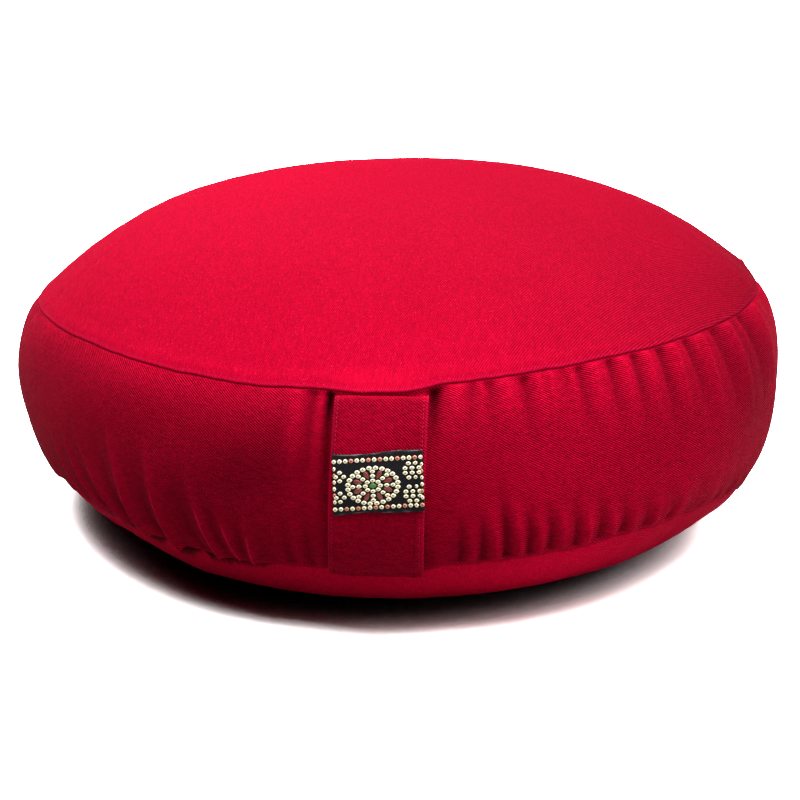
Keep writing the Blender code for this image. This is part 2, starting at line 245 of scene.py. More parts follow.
# Panel lengths along the middle section, and the rings of the cover's mesh, which crowd at the front.
CROWN_LENGTH = 162 * MM
SIDE_LENGTH = 77.5 * MM
BASE_LENGTH = 72 * MM
SEGMENTS = 1080
FRONT_CROWDING = 0.33
SEAM_RINGS = (0.18, 0.4, 0.65, 0.95, 1.4, 2.0, 2.8, 3.8, 5.2, 7.0, 9.2)
NEXT_RING = 2.0 * MM
FIRST_RING = 0.06
CROWN_RINGS = 14
SIDE_RINGS = 38
BASE_RINGS = 8
FLAT_RINGS = (0.85, 0.6, 0.3)

# Painted light and shade of the panels against the side panel: top panel, what its front rim and its left
# add, what its rims at the sides take off, and base panel. Then patches of painted light and shade on the
# side and the base, as azimuth and spread in degrees, station and spread, and what they add.
CROWN_PAINTED_LIGHT = 1.05
RIM_PAINTED_LIGHT = 0.66
ASIDE_PAINTED_LIGHT = 0.32
RIM_ASIDE_PAINTED_SHADE = 0.26
BASE_PAINTED_LIGHT = 1.7
PAINTED_LIGHT_PATCHES = (
    (-28, 16, 1.50, 0.45, -0.22), (27, 16, 1.45, 0.45, 0.14), (30, 16, 1.85, 0.28, 0.38),
    (64, 11, 1.30, 0.40, -0.32), (-32, 26, 1.04, 0.13, 0.30), (30, 24, 1.04, 0.13, 0.16),
    (-11.3, 2.2, 1.24, 0.12, 0.14), (24, 18, 2.25, 0.30, 1.3), (-26, 12, 2.25, 0.30, -0.30),
    (-17, 8, 1.42, 0.20, -0.30), (21, 8, 1.12, 0.12, 0.22), (52, 13, 1.85, 0.25, 0.36),
    (46, 9, 1.36, 0.22, -0.10),
)

# Columns of the cover's mesh on either side over which hollows are told from ridges, and how fast the look
# of the side panel sets in beside its seams.
HOLLOW_COLUMNS = 9
SIDE_RAMP = 60.0

# The twill: its warp runs round the side panel, front to back on the top, and down the strap.
WARP_PITCH = 0.33 * MM
SIDE_GIRTH = TAU * 158 * MM
FLOAT_COUNT = 709
FLOAT_PERIOD = SIDE_GIRTH / FLOAT_COUNT
COVER_WALE_DEPTH = 0.92
STRAP_WARP_PITCH = 0.36 * MM
STRAP_FLOAT_PERIOD = 1.25 * MM
STRAP_WALE_DEPTH = 0.6

# The weave's form: rows over which the wale shifts by a whole float, how much shorter the gaps are than the
# floats, how much each float's broken wale varies and its least, what the round of a yarn and the slubs add,
# and the scales of the slubs along the floats and across them. Then the depth of the twill's relief and what
# the pile adds to it.
TWILL_ROWS = 3.0
FLOAT_STRETCH = 1.5
WALE_RIDGE = (0.35, 0.45)
YARN_RISE = 0.4
SLUB_RISE = 0.35
SLUB_SCALES = (180.0, 1400.0)
TWILL_RELIEF = 0.28 * MM
PILE_RISE = 0.6

# How much the yarn's slubs, the pile's fine mottle and the broken wales change the twill's tone, and what is
# taken off so that the mean stays. Then how much of it and of the wales shows on the top and base panels.
SLUB_TONE = (0.6, -0.33)
PILE_TONE = (0.4, -0.17)
DASH_TONE = (0.4, -0.20)
FLAT_TONE_SHARE = 0.65
FLAT_WALE_SHARE = 0.28

# How much of the painted sparkle of glints and of the wear the wales show, as what a whole wale adds and
# what the hollows show. Then how far the wide unevenness of dye shifts the painted shade of the hollows, and
# how rough the cloth is between its wales and on them.
GLINT_ON_WALES = (0.8, 0.4)
WEAR_ON_WALES = (0.6, 0.1)
DYE_SHIFT = 0.4
TWILL_ROUGHNESS = (0.85, 0.66)

# Shares of the cloth's colour in its darkest and palest threads, and of its light colour in the painted
# highlight along a sharp crest, and how much of it that highlight covers. Then the painted shade of the
# hollows and painted light of the ridges, the heights in millimetres that they belong to, and how dark the
# painted shade beside the seams is.
DARK_THREAD = 0.40
PALE_THREAD = 1.40
CREST_HIGHLIGHT_THREAD = 1.25
CREST_HIGHLIGHT_COVER = 0.9
FOLD_HEIGHTS = (-0.85, 0.8)
FOLD_PAINTED_LIGHT = (0.55, 1.10)
PAINTED_SHADE_TONE = 0.05

# The handle strap.
STRAP_CROSS_RADIUS = 320 * MM
STRAP_SEAT_GAP = 0.4 * MM
STRAP_STAND_OFF = 1.7 * MM
STRAP_SHORT = 2.0 * MM
STRAP_TOP_ASIDE = 1.0 * MM
STRAP_END_ASIDE = -0.9 * MM
STRAP_END_WIDER = 0.03
STRAP_START = 1.6 * MM
STRAP_START_REACH = 1.8 * MM
STRAP_DIVE = 3.4 * MM
STRAP_HEM = 3.0 * MM
STRAP_LEFT_STITCH = 1.4 * MM
STRAP_RIGHT_STITCH = 1.6 * MM
STRAP_CROSS_STITCH = 3.4 * MM
STRAP_BODY_SHARE = 0.8
HEM_RISE = 0.5 * MM
HEM_SOFTNESS = 0.1 * MM
STITCH_SINK = 0.22 * MM
STITCH_SPREADS = (0.45 * MM, 0.35 * MM, 0.6 * MM)
CROSS_STITCH_SHARE = 1.3
STRAP_SAG = 0.25 * MM
STRAP_SAG_WAVES = (2.2, 11 * MM)
STRAP_RUCK = 0.16 * MM
STRAP_RUCK_REACH = 14 * MM
STRAP_RUCK_WAVES = (2.3 * MM, 0.6)
STRAP_ROWS = 120
STRAP_ROUND = 96
STRAP_SECTION_POWERS = (0.35, 0.6)
STRAP_EDGE_WEAR = 0.8
STRAP_EDGE_REACH = 0.7 * MM
STITCH_FROM_TOP = 4 * MM
STITCH_FROM_RIM = 3 * MM
STITCH_PITCH_SHARE = 1.25
STITCH_HALF_WIDTH = 0.17 * MM
STITCH_HEIGHT = 0.13 * MM

# The trim ribbon, as a turned rectangle on the strap.
BAND_TURN = 4.2
BAND_LOWER = 1.3 * MM
BAND_ASIDE = 0.4 * MM
BAND_SEAT_GAP = 0.15 * MM
RIBBON_BODY_SHARE = 0.6
RIBBON_BEND = 0.35 * MM
RIBBON_BEND_WAVES = (7.0, 1.2)
SELVEDGE_RISE = 0.14 * MM
SELVEDGE_AT = 0.6 * MM
SELVEDGE_SPREAD = 0.5 * MM
RIBBON_ROWS = 44
RIBBON_COLUMNS = 60
RIB_PITCH = 0.42 * MM
PICK_PITCH = 0.3 * MM
RIBBON_RELIEF = 0.12 * MM
PALE_EDGE = (9.6 * MM, 10.3 * MM)
PALE_EDGE_COVER = 0.45

# The camera, worked out from the outline and both seam lines of the reference view.
CAMERA_AZIMUTH = 3.0
CAMERA_ELEVATION = 17.5
CAMERA_DISTANCE = 0.784
CAMERA_TARGET = (0.0, 0.0, 0.0475)
CAMERA_LENS = 77.5
CAMERA_SENSOR = 36.0
CAMERA_CLIP = (0.05, 50.0)

# Strength of the white surroundings, and brightness of the floor: as light, and as the camera sees them.
# Then half the floor's width, and how far off the lights stand.
WORLD_LIGHT = 0.0
WORLD_SEEN = 1.2
FLOOR_LIGHT = 0.30
FLOOR_SEEN = 3.0
FLOOR_HALF = 8
LIGHT_DISTANCE = 2.0

# The painted contact shadow in the floor's nook under the cushion: how near the cover darkens it, the
# openness that is dark and light, how fast the one turns into the other, and the direction about which
# openness is looked for. It leans to the back and right, so that the painted shadow is darkest at the front
# left of the cushion.
NOOK_REACH = 30 * MM
NOOK_DARK = 0.03
NOOK_LIGHT = 0.43
NOOK_POWER = 3.0
NOOK_LEAN = (0.30, 0.42, 0.856)


# ---------------- settings


def length_setting(name, description, default):
    """A length for the sidebar."""
    return bpy.props.FloatProperty(
        name=name, description=description, default=default, unit="LENGTH", precision=4)


def colour_setting(name, description, default):
    """A colour for the sidebar."""
    return bpy.props.FloatVectorProperty(
        name=name, description=description, default=default, subtype="COLOR", min=0.0, max=1.0)


class CushionSizes(bpy.types.PropertyGroup):
    """Sizes that a user would change."""

    height: length_setting("Height", "Height of the crown above the floor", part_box("cushion")[1].z)
    seam_depth: length_setting("Seam depth", "How far the seams draw the cover in", 2.3 * MM)
    pucker_strength: bpy.props.FloatProperty(
        name="Pucker strength", description="How strongly the side panel is gathered",
        default=1.0, subtype="FACTOR")
    strap_width: length_setting("Strap width", "Width of the handle strap", 34.5 * MM)
    strap_thickness: length_setting("Strap thickness", "Thickness of the strap at its hems", 1.8 * MM)
    ribbon_width: length_setting("Ribbon cut", "Length of the ribbon across the strap", 32.6 * MM)
    ribbon_height: length_setting("Ribbon width", "Width of the ribbon up the strap", 21.2 * MM)
    ribbon_thickness: length_setting("Ribbon thickness", "Thickness of the ribbon", 0.7 * MM)
    stitch_length: length_setting("Stitch length", "Length of one topstitch", 1.3 * MM)


class CushionColours(bpy.types.PropertyGroup):
    """Colours that a user would change."""

    cloth: colour_setting("Cloth", "Crimson of the twill", (0.27, 0.0004, 0.0125))
    # The light cloth colour serves real wear and lint, and painted glints and crest highlights.
    cloth_light: colour_setting("Cloth light", "Worn and raised threads of the twill", (0.48, 0.0055, 0.047))
    thread: colour_setting("Thread", "Sewing thread", (0.42, 0.010, 0.045))
    ribbon: colour_setting("Ribbon ground", "Ground of the trim ribbon", (0.007, 0.006, 0.008))
    cream: colour_setting("Cream dots", "Pale dots of the ribbon", (0.97, 0.88, 0.58))
    coral: colour_setting("Coral dots", "Coral touches in the ribbon's borders", (0.62, 0.20, 0.11))
    petal: colour_setting("Petals", "Dark red petals of the wheel", (0.17, 0.014, 0.012))
    green: colour_setting("Wheel centre", "Green middle of the wheel", (0.04, 0.14, 0.018))
    floor: colour_setting("Floor", "Pale studio floor", (0.92, 0.92, 0.92))


# ---------------- small formulas


def bell(apart, spread=1.0, power=2):
    """1 at no distance, falling off over a spread."""
    return np.exp(-(np.abs(apart / spread) ** power))


def smooth_step(share):
    """A rise from 0 to 1 that starts and ends level."""
    share = np.clip(share, 0.0, 1.0)
    return share**2 * (3.0 - 2.0 * share)


def unit(vectors):
    """Vectors brought to length 1."""
    return vectors / np.linalg.norm(vectors, axis=-1, keepdims=True)


def signed_power(values, power):
    """A power that keeps the sign, for superellipses."""
    return np.sign(values) * np.abs(values) ** power


# ---------------- the cover's form


def turn_handle(handle):
    """Step of a curve handle in the radius and height plane."""
    length, degrees = handle
    angle = np.radians(degrees)
    return np.stack([length * np.cos(angle), length * np.sin(angle)], axis=-1)


def bezier(start, start_handle, end_handle, end, part):
    """Cubic curve in the radius and height plane, where part runs from 0 to 1."""
    first = start + turn_handle(start_handle)
    second = end + turn_handle(end_handle)
    part = part[..., None]
    rest = 1.0 - part
    return rest**3 * start + 3 * rest**2 * part * first + 3 * rest * part**2 * second + part**3 * end


def even_part(curve, share):
    """Curve parameter at a share of the curve's length, so that stations are evenly spaced along it."""
    part = np.linspace(0.0, 1.0, CURVE_POINTS)
    steps = np.linalg.norm(np.diff(curve(part), axis=0), axis=-1)
    length = np.concatenate([[0.0], np.cumsum(steps)])
    return np.interp(share, length / length[-1], part)


def side_curve(upper, lower, part):
    """Side panel between two seam points."""
    return bezier(upper, SIDE_TOP_HANDLE, SIDE_FOOT_HANDLE, lower, part)


def base_curve(lower, part):
    """Base panel from the lower seam to the edge of the resting flat, which it meets level."""
    top_handle = (BASE_TOP_HANDLE_SHARE * lower[..., 1], BASE_TOP_HANDLE_ANGLE)
    return bezier(lower, top_handle, BASE_FOOT_HANDLE, np.array([REST_RADIUS, 0.0]), part)


def near_azimuth(azimuth, middle, spread, power=2):
    """Bell round the cushion: 1 at an azimuth and falling off over a spread, both in degrees."""
    apart = np.degrees(np.angle(np.exp(1j * (azimuth - np.radians(middle)))))
    return bell(apart, spread, power)


def seam_ring(seam, azimuth):
    """Radius and height of a seam: mean values, slow waves that grow calm at the back, and a fine wander."""
    behind = (BACK_CALM_FROM - np.cos(azimuth)) / (BACK_CALM_FROM + 1.0)
    calm = 1.0 - BACK_CALM[seam] * smooth_step(behind)
    radius, height = (np.full(azimuth.shape, mean) for mean in SEAM_MEANS[seam])
    for order, height_sine, height_cosine, radius_sine, radius_cosine in SEAM_WAVES[seam]:
        sine = np.sin(order * azimuth) * calm * MM
        cosine = np.cos(order * azimuth) * calm * MM
        height = height + height_sine * sine + height_cosine * cosine
        radius = radius + radius_sine * sine + radius_cosine * cosine
    for middle, spread, high, wide in SEAM_KINKS[seam]:
        near = near_azimuth(azimuth, middle, spread) * MM
        height = height + high * near
        radius = radius + wide * near
    for order, size, phase in SEAM_WANDER:
        wander = size * WANDER_SHARE[seam] * MM
        height = height + wander * np.sin(order * azimuth + phase + len(seam) * order)
    return np.stack([radius, height], axis=-1)


def smooth_cover(azimuth, station, height):
    """Radius and height of the cover before seams and puckers: a power crown and two cubic curves."""
    upper = seam_ring("upper", azimuth)
    lower = seam_ring("lower", azimuth)
    mean_upper, mean_lower = (np.array(SEAM_MEANS[seam]) for seam in ("upper", "lower"))
    out = np.clip(station, 0.0, 1.0)
    crown_height = upper[..., 1] + (height - upper[..., 1]) * (1.0 - out**CROWN_POWER)
    crown = np.stack([upper[..., 0] * out, crown_height], axis=-1)
    side_part = even_part(lambda part: side_curve(mean_upper, mean_lower, part), station - 1.0)
    base_part = even_part(lambda part: base_curve(mean_lower, part), station - 2.0)
    side = side_curve(upper, lower, side_part)
    base = base_curve(lower, base_part)
    on_crown = (station < 1.0)[..., None]
    on_side = (station < 2.0)[..., None]
    return np.where(on_crown, crown, np.where(on_side, side, base))


def cover_frame(azimuth, station, height):
    """The smooth cover's point, its step along the section and its outward normal, in radius and height."""
    before = smooth_cover(azimuth, np.maximum(station - STATION_STEP, 0.0), height)
    after = smooth_cover(azimuth, np.minimum(station + STATION_STEP, 3.0), height)
    along = unit(after - before)
    normal = np.stack([-along[..., 1], along[..., 0]], axis=-1)
    return smooth_cover(azimuth, station, height), along, normal


def back_puckers():
    """Rows like those of the pucker tables, for the side of the cushion away from the strap."""
    rows = []
    count = int((BACK_PUCKER_TO - BACK_PUCKER_FROM) / BACK_PUCKER_PITCH)
    for index in range(count):
        share = (index * GOLDEN_PART) % 1.0
        spread = BACK_PUCKER_SPREAD * (2.0 * share - 1.0)
        azimuth = BACK_PUCKER_FROM + BACK_PUCKER_PITCH * (index + BACK_PUCKER_STRAY * share)
        azimuth = (azimuth + 180.0) % 360.0 - 180.0
        far_end = azimuth + BACK_PUCKER_LEAN * (share - 0.5)
        reach = BACK_PUCKER_REACH * (1.0 - spread)
        height = BACK_PUCKER_HEIGHT * (1.0 + spread) * (1.0 if index % 2 else -1.0)
        rows.append((azimuth, far_end, reach, BACK_PUCKER_HALF_WIDTH, height, BACK_PUCKER_CRISP))
    return tuple(rows)


def small_gathers(wanted):
    """Rows for the small gathers of one seam: evenly pitched, each strayed and sized by a golden share."""
    rows = []
    for seam, first, last, pitch, reach, half_width, height in SMALL_GATHERS:
        if seam != wanted:
            continue
        for index in range(int((last - first) / pitch)):
            share = (index * GOLDEN_PART + pitch) % 1.0
            azimuth = first + pitch * (index + SMALL_STRAY * share)
            size = height * (0.5 + share) * (1.0 if index % 2 else -1.0)
            far_end = azimuth + share - 0.5
            rows.append((azimuth, far_end, reach * (0.6 + share), half_width, size, SMALL_CRISP))
    return tuple(rows)


def puckers(rows, azimuth, from_seam):
    """Height of the gathers: each is a ridge or trough whose cross section blends a bell and a crest.

    The flank away from the front is the steeper one. The fold rises within a few millimetres of its seam
    and fades out towards its far end. Also how strong the painted highlight along the nearest sharp crest
    is, and how far it lies aside.
    """
    relief, crest_highlight_strength, crest_highlight_aside = np.zeros((3,) + azimuth.shape)
    rise = smooth_step(from_seam * SIDE_LENGTH / PUCKER_START)
    for start, end, reach, half_width, height, crisp in rows:
        along = np.clip(from_seam / reach, 0.0, 1.0)
        middle = np.radians(start + (end - start) * along)
        aside = np.angle(np.exp(1j * (azimuth - middle))) * SEAM_MEANS["upper"][0] / MM
        away = np.tanh(start / FOLD_LEAN_TURN) if abs(start) < 90.0 else 0.0
        flank = 1.0 - FOLD_LEAN * away * crisp * np.sign(height) * np.sign(aside)
        across = np.abs(aside) / (half_width * flank * (1.0 + PUCKER_WIDENING * along))
        crest = np.exp(-CREST_FALL * (np.sqrt(across**2 + CREST_ROUND) - CREST_TOP))
        fade = (1.0 - along**2) ** 2 * rise
        relief += height * MM * fade * ((1.0 - crisp) * bell(across) + crisp * crest)
        # The painted highlight line along a crisp crest: its strength and how far it lies aside.
        if crisp > CREST_HIGHLIGHT_FROM:
            run = np.clip(CREST_HIGHLIGHT_END * (1.0 - along / CREST_HIGHLIGHT_SHARE), 0.0, 1.0) * np.sqrt(rise)
            strength = bell(aside * MM, CREST_HIGHLIGHT_REACH) * run * np.clip(height / CREST_HIGHLIGHT_FULL_HEIGHT, 0.0, 1.0)
            crest_highlight_aside = np.where(strength > crest_highlight_strength, aside, crest_highlight_aside)
            crest_highlight_strength = np.maximum(strength, crest_highlight_strength)
    return relief, crest_highlight_strength, crest_highlight_aside


def swell(azimuth, station):
    """Slow unevenness of the filling under the cover: a few crossed waves that fade at both middles."""
    waves = 0.0
    for size, turns, along, phase, cross, cross_phase in SWELL_WAVES:
        wave = np.sin(turns * azimuth + along * station + phase)
        waves = waves + size * wave * np.sin(cross * station + cross_phase)
    return waves * MM * np.clip(station, 0.0, 1.0) ** 2 * np.clip(3.0 - station, 0.0, 1.0)


def overhang(azimuth):
    """How far the side panel hangs over the base: least at the right, in full at the front left."""
    near = np.cos(azimuth - np.radians(OVERHANG_TURN))
    full = np.exp((near - 1.0) / (1.0 - np.cos(np.radians(OVERHANG_SPREAD))))
    behind = np.clip(-np.cos(azimuth), 0.0, 1.0)
    return OVERHANG_LEAST + (1.0 - OVERHANG_LEAST) * full + (OVERHANG_BACK - OVERHANG_LEAST) * behind


def seam_section(azimuth, station, depth):
    """Push along the normal, slide along the section, lobes' droop, wear and painted shade beside the seams.

    All are sums of the seam forms' bells. Also the base is tucked in on one side, a painted contact shade
    reaches down the base as far as the lobe above it hangs out, and painted shade lies in pockets beside the
    strap's start.
    """
    hang = overhang(azimuth)
    on_crown, on_base = station < 1.0, station > 2.0
    on_side = ~(on_crown | on_base)
    above = np.maximum(1.0 - station, 0.0) * CROWN_LENGTH / MM
    below = np.maximum(station - 1.0, 0.0) * SIDE_LENGTH / MM
    over = np.maximum(2.0 - station, 0.0) * SIDE_LENGTH / MM
    under = np.maximum(station - 2.0, 0.0) * BASE_LENGTH / MM
    sides = {"above": (above, on_crown), "below": (below, on_side), "over": (over, on_side),
             "under": (under, on_base)}
    made = dict.fromkeys(("roll", "push", "slide", "wear", "groove"), 0.0)
    for kind, side, size, hang_size, middle, spread, power in SEAM_FORMS:
        apart, on_panel = sides[side]
        made[kind] = made[kind] + (size + hang_size * hang) * bell(apart - middle, spread, power) * on_panel
    middle, spread, tuck = BASE_TUCK
    tuck = tuck * near_azimuth(azimuth, middle, spread) * np.sin(np.pi * np.clip(station - 2.0, 0.0, 1.0))
    level = np.full(azimuth.shape, LOBE_HEIGHT_AT / SIDE_LENGTH)
    turns = np.radians(LOBE_SHADE_TURNS)
    lobe = np.maximum.reduce([puckers(LOWER_PUCKERS, azimuth + turn, level)[0] for turn in turns])
    shade_reach = SHADE_LEAST + hang * (SHADE_HANG + LOBE_SHADE * np.maximum(lobe, 0.0) / MM)
    groove = made["groove"] + np.sqrt(hang) * bell(under, shade_reach, 4) * on_base
    for middle, half_width, low, reach, shade in POCKETS:
        pocket = shade * near_azimuth(azimuth, middle, half_width) * bell(below - low, reach)
        groove = np.maximum(groove, pocket * on_side)
    droop = (LOBE_DROOP + LOBE_DROOP_HANG * hang) * bell(over, LOBE_DROOP_NEAR) * on_side
    out, down = strap_lip(azimuth, above + below, on_crown)
    push = made["push"] * depth + made["roll"] * MM - tuck
    return push + out, made["slide"] * MM + down, droop, made["wear"], groove


def strap_lip(azimuth, apart, on_crown):
    """Sag of the top panel over the strap's start, outwards and down, by the distance from the seam."""
    window = near_azimuth(azimuth, 0.0, LIP_SPREAD, 4) * MM
    return [size * window * bell(apart, np.where(on_crown, reach, inner_reach))
            for (size, reach), inner_reach in zip((LIP_OUT, LIP_DOWN), LIP_INNER_REACH)]


def cover_surface(azimuth, station, sizes):
    """Points of the finished cover over arrays of azimuth and station, with its masks by name."""
    azimuth, station = np.broadcast_arrays(azimuth, station)
    point, along, normal = cover_frame(azimuth, station, sizes.height)
    push, slide, droop, wear, groove = seam_section(azimuth, station, sizes.seam_depth)
    on_side = (station >= 1.0) & (station <= 2.0)
    gathers, crease, highlight_aside = np.zeros((3,) + azimuth.shape)
    for rows, turn, from_seam in (
        (UPPER_PUCKERS + small_gathers("upper"), azimuth, station - 1.0),
        (LOWER_PUCKERS + small_gathers("lower"), azimuth, 2.0 - station),
        (back_puckers(), azimuth, station - 1.0),
        (back_puckers(), -azimuth, 2.0 - station),
    ):
        height, strength, aside = puckers(rows, turn, from_seam)
        gathers += np.where(on_side, height, 0.0) * sizes.pucker_strength
        strength = np.where(on_side, strength, 0.0)
        highlight_aside = np.where(strength > crease, aside, highlight_aside)
        crease = np.maximum(strength, crease)
    push = push + gathers + swell(azimuth, station)
    slide = slide + droop * np.maximum(gathers, 0.0)
    place = point + normal * push[..., None] + along * slide[..., None]
    radius, height = place[..., 0], np.maximum(place[..., 1], 0.0)
    points = np.stack([radius * np.sin(azimuth), -radius * np.cos(azimuth), height], axis=-1)
    side = np.clip(np.minimum(station - 1.0, 2.0 - station) * SIDE_RAMP, 0.0, 1.0)
    # The masks carry real wear, and painted shade of hollows, seams and pockets, painted light of ridges, a
    # painted highlight along sharp crests and the panels' painted light and shade.
    masks = {"fold": gathers / MM, "wear": wear, "groove": groove, "side": side, "crease": crease,
             "aside": highlight_aside, "tone": painted_panel_light(azimuth, station)}
    return points, masks


def painted_panel_light(azimuth, station):
    """Painted light and shade: the top panel lighter along its front rim and left, and the base paler."""
    out = np.clip(station, 0.0, 1.0)
    front = np.clip(np.cos(azimuth), 0.0, 1.0) ** 3
    crown = CROWN_PAINTED_LIGHT + RIM_PAINTED_LIGHT * out**4 * front - ASIDE_PAINTED_LIGHT * out * np.sin(azimuth)
    crown = crown - RIM_ASIDE_PAINTED_SHADE * out**6 * np.sin(azimuth) ** 2
    below = np.where(station <= 2.0, 1.0, BASE_PAINTED_LIGHT)
    for middle, spread, level, height, amount in PAINTED_LIGHT_PATCHES:
        same_panel = (station <= 2.0) == (level <= 2.0)
        near = near_azimuth(azimuth, middle, spread) * bell(station - level, height)
        below = below + amount * near * same_panel
    return np.where(station < 1.0, crown, below)


def local_relief(relief):
    """Relief against its mean round the ring nearby, so that it tells ridges from hollows."""
    reach = range(-HOLLOW_COLUMNS, HOLLOW_COLUMNS + 1)
    return relief - sum(np.roll(relief, step, axis=1) for step in reach) / len(reach)


def ring_stations():
    """Stations of the cover's rings: even over each panel, and crowded beside the seams."""
    near = np.array(SEAM_RINGS) * MM
    far = near[-1] + NEXT_RING
    crown = np.linspace(FIRST_RING, 1.0 - far / CROWN_LENGTH, CROWN_RINGS)
    side = np.linspace(1.0 + far / SIDE_LENGTH, 2.0 - far / SIDE_LENGTH, SIDE_RINGS)
    base = np.linspace(2.0 + far / BASE_LENGTH, 3.0, BASE_RINGS)
    return np.concatenate([
        crown, 1.0 - near[::-1] / CROWN_LENGTH, [1.0], 1.0 + near / SIDE_LENGTH,
        side, 2.0 - near[::-1] / SIDE_LENGTH, [2.0], 2.0 + near / BASE_LENGTH, base,
    ])


# ---------------- mesh helpers


def grid_faces(rows, columns, around):
    """Quads between the rows of a grid; around joins its last column to its first."""
    index = np.arange(rows * columns).reshape(rows, columns)
    beside = np.roll(index, -1, axis=1)
    last = columns if around else columns - 1
    quads = np.stack([index[:-1], index[1:], beside[1:], beside[:-1]], axis=-1)
    return quads[:, :last].reshape(-1, 4)


def closed_tube_faces(rows, columns):
    """Faces of a tube on a grid with a fan over each end; the two middles follow the grid's points."""
    first = np.arange(columns)
    last = first + (rows - 1) * columns
    start = np.stack([np.full(columns, rows * columns), first, np.roll(first, -1)], axis=-1)
    end = np.stack([last, np.full(columns, rows * columns + 1), np.roll(last, -1)], axis=-1)
    return grid_faces(rows, columns, True).tolist() + start.tolist() + end.tolist()


def quad_corners(values):
    """Values at the four corners of every quad, in the order of grid_faces, from a grid one column wider."""
    corners = [values[:-1, :-1], values[1:, :-1], values[1:, 1:], values[:-1, 1:]]
    return np.stack(corners, axis=2).reshape(-1, values.shape[-1])


def build_mesh(name, points, faces):
    """Smooth-shaded mesh object at the origin from arrays of points and a list of faces."""
    mesh = bpy.data.meshes.new(name)
    mesh.from_pydata(np.asarray(points).tolist(), [], [list(map(int, face)) for face in faces])
    mesh.update()
    mesh.shade_smooth()
    made = bpy.data.objects.new(name, mesh)
    bpy.context.scene.collection.objects.link(made)
    return made


def set_point_values(made, name, values):
    """Store one number for each point as an attribute that the materials read."""
    attribute = made.data.attributes.new(name, "FLOAT", "POINT")
    attribute.data.foreach_set("value", np.asarray(values, np.float32).ravel())


def set_point_colours(made, name, colours):
    """Store one colour for each point as an attribute that the materials read."""
    attribute = made.data.color_attributes.new(name, "FLOAT_COLOR", "POINT")
    rows = np.concatenate([colours, np.ones((len(colours), 1))], axis=1)
    attribute.data.foreach_set("color", rows.astype(np.float32).ravel())


def set_cloth_map(made, loop_coordinates):
    """Store the flat cloth's coordinates, in metres, as the piece's own UV map."""
    layer = made.data.uv_layers.new(name="cloth")
    layer.data.foreach_set("uv", np.asarray(loop_coordinates, np.float32).ravel())


def loop_points(made):
    """The point index of every face corner."""
    corners = np.empty(len(made.data.loops), np.int32)
    made.data.loops.foreach_get("vertex_index", corners)
    return corners


def finish_piece(made, material):
    """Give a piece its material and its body."""
    made.data.materials.append(material)
    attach(made, "root")
    return made


# ---------------- shader groups


class Shade:
    """Short names for building one node tree."""

    def __init__(self, tree):
        self.tree = tree

    def node(self, kind, **settings):
        made = self.tree.nodes.new(kind)
        for key, value in settings.items():
            setattr(made, key, value)
        return made

    def feed(self, socket, value):
        if isinstance(value, bpy.types.NodeSocket):
            self.tree.links.new(value, socket)
        else:
            socket.default_value = value

    def math(self, operation, first, second=0.0, third=0.0):
        made = self.node("ShaderNodeMath", operation=operation)
        for socket, value in zip(made.inputs, (first, second, third)):
            self.feed(socket, value)
        return made.outputs[0]

    add = partialmethod(math, "ADD")
    sub = partialmethod(math, "SUBTRACT")
    mul = partialmethod(math, "MULTIPLY")
    div = partialmethod(math, "DIVIDE")
    mul_add = partialmethod(math, "MULTIPLY_ADD")

    def give(self, node, **values):
        for key, value in values.items():
            self.feed(node.inputs[key.replace("_", " ")], value)

    def vector(self, *parts):
        made = self.node("ShaderNodeCombineXYZ")
        for socket, part in zip(made.inputs, parts):
            self.feed(socket, part)
        return made.outputs[0]

    def bump(self, shader, height, strength, distance):
        made = self.node("ShaderNodeBump")
        self.give(made, Height=height, Strength=strength, Distance=distance)
        self.feed(shader.inputs["Normal"], made.outputs[0])

    def remap(self, value, from_low, from_high, to_low=0.0, to_high=1.0):
        made = self.node("ShaderNodeMapRange", clamp=True)
        for socket, number in zip(made.inputs, (value, from_low, from_high, to_low, to_high)):
            self.feed(socket, number)
        return made.outputs[0]

    def mix(self, share, first, second):
        made = self.node("ShaderNodeMix", data_type="RGBA")
        for socket, value in zip((made.inputs[0], made.inputs[6], made.inputs[7]), (share, first, second)):
            self.feed(socket, value)
        return made.outputs[2]

    def noise(self, vector, scale, detail=2.0, roughness=0.5):
        made = self.node("ShaderNodeTexNoise")
        self.give(made, Vector=vector, Scale=scale, Detail=detail, Roughness=roughness)
        return made.outputs[0]

    def group(self, name, **values):
        made = self.node("ShaderNodeGroup", node_tree=shared_group(name))
        self.give(made, **values)
        return made.outputs


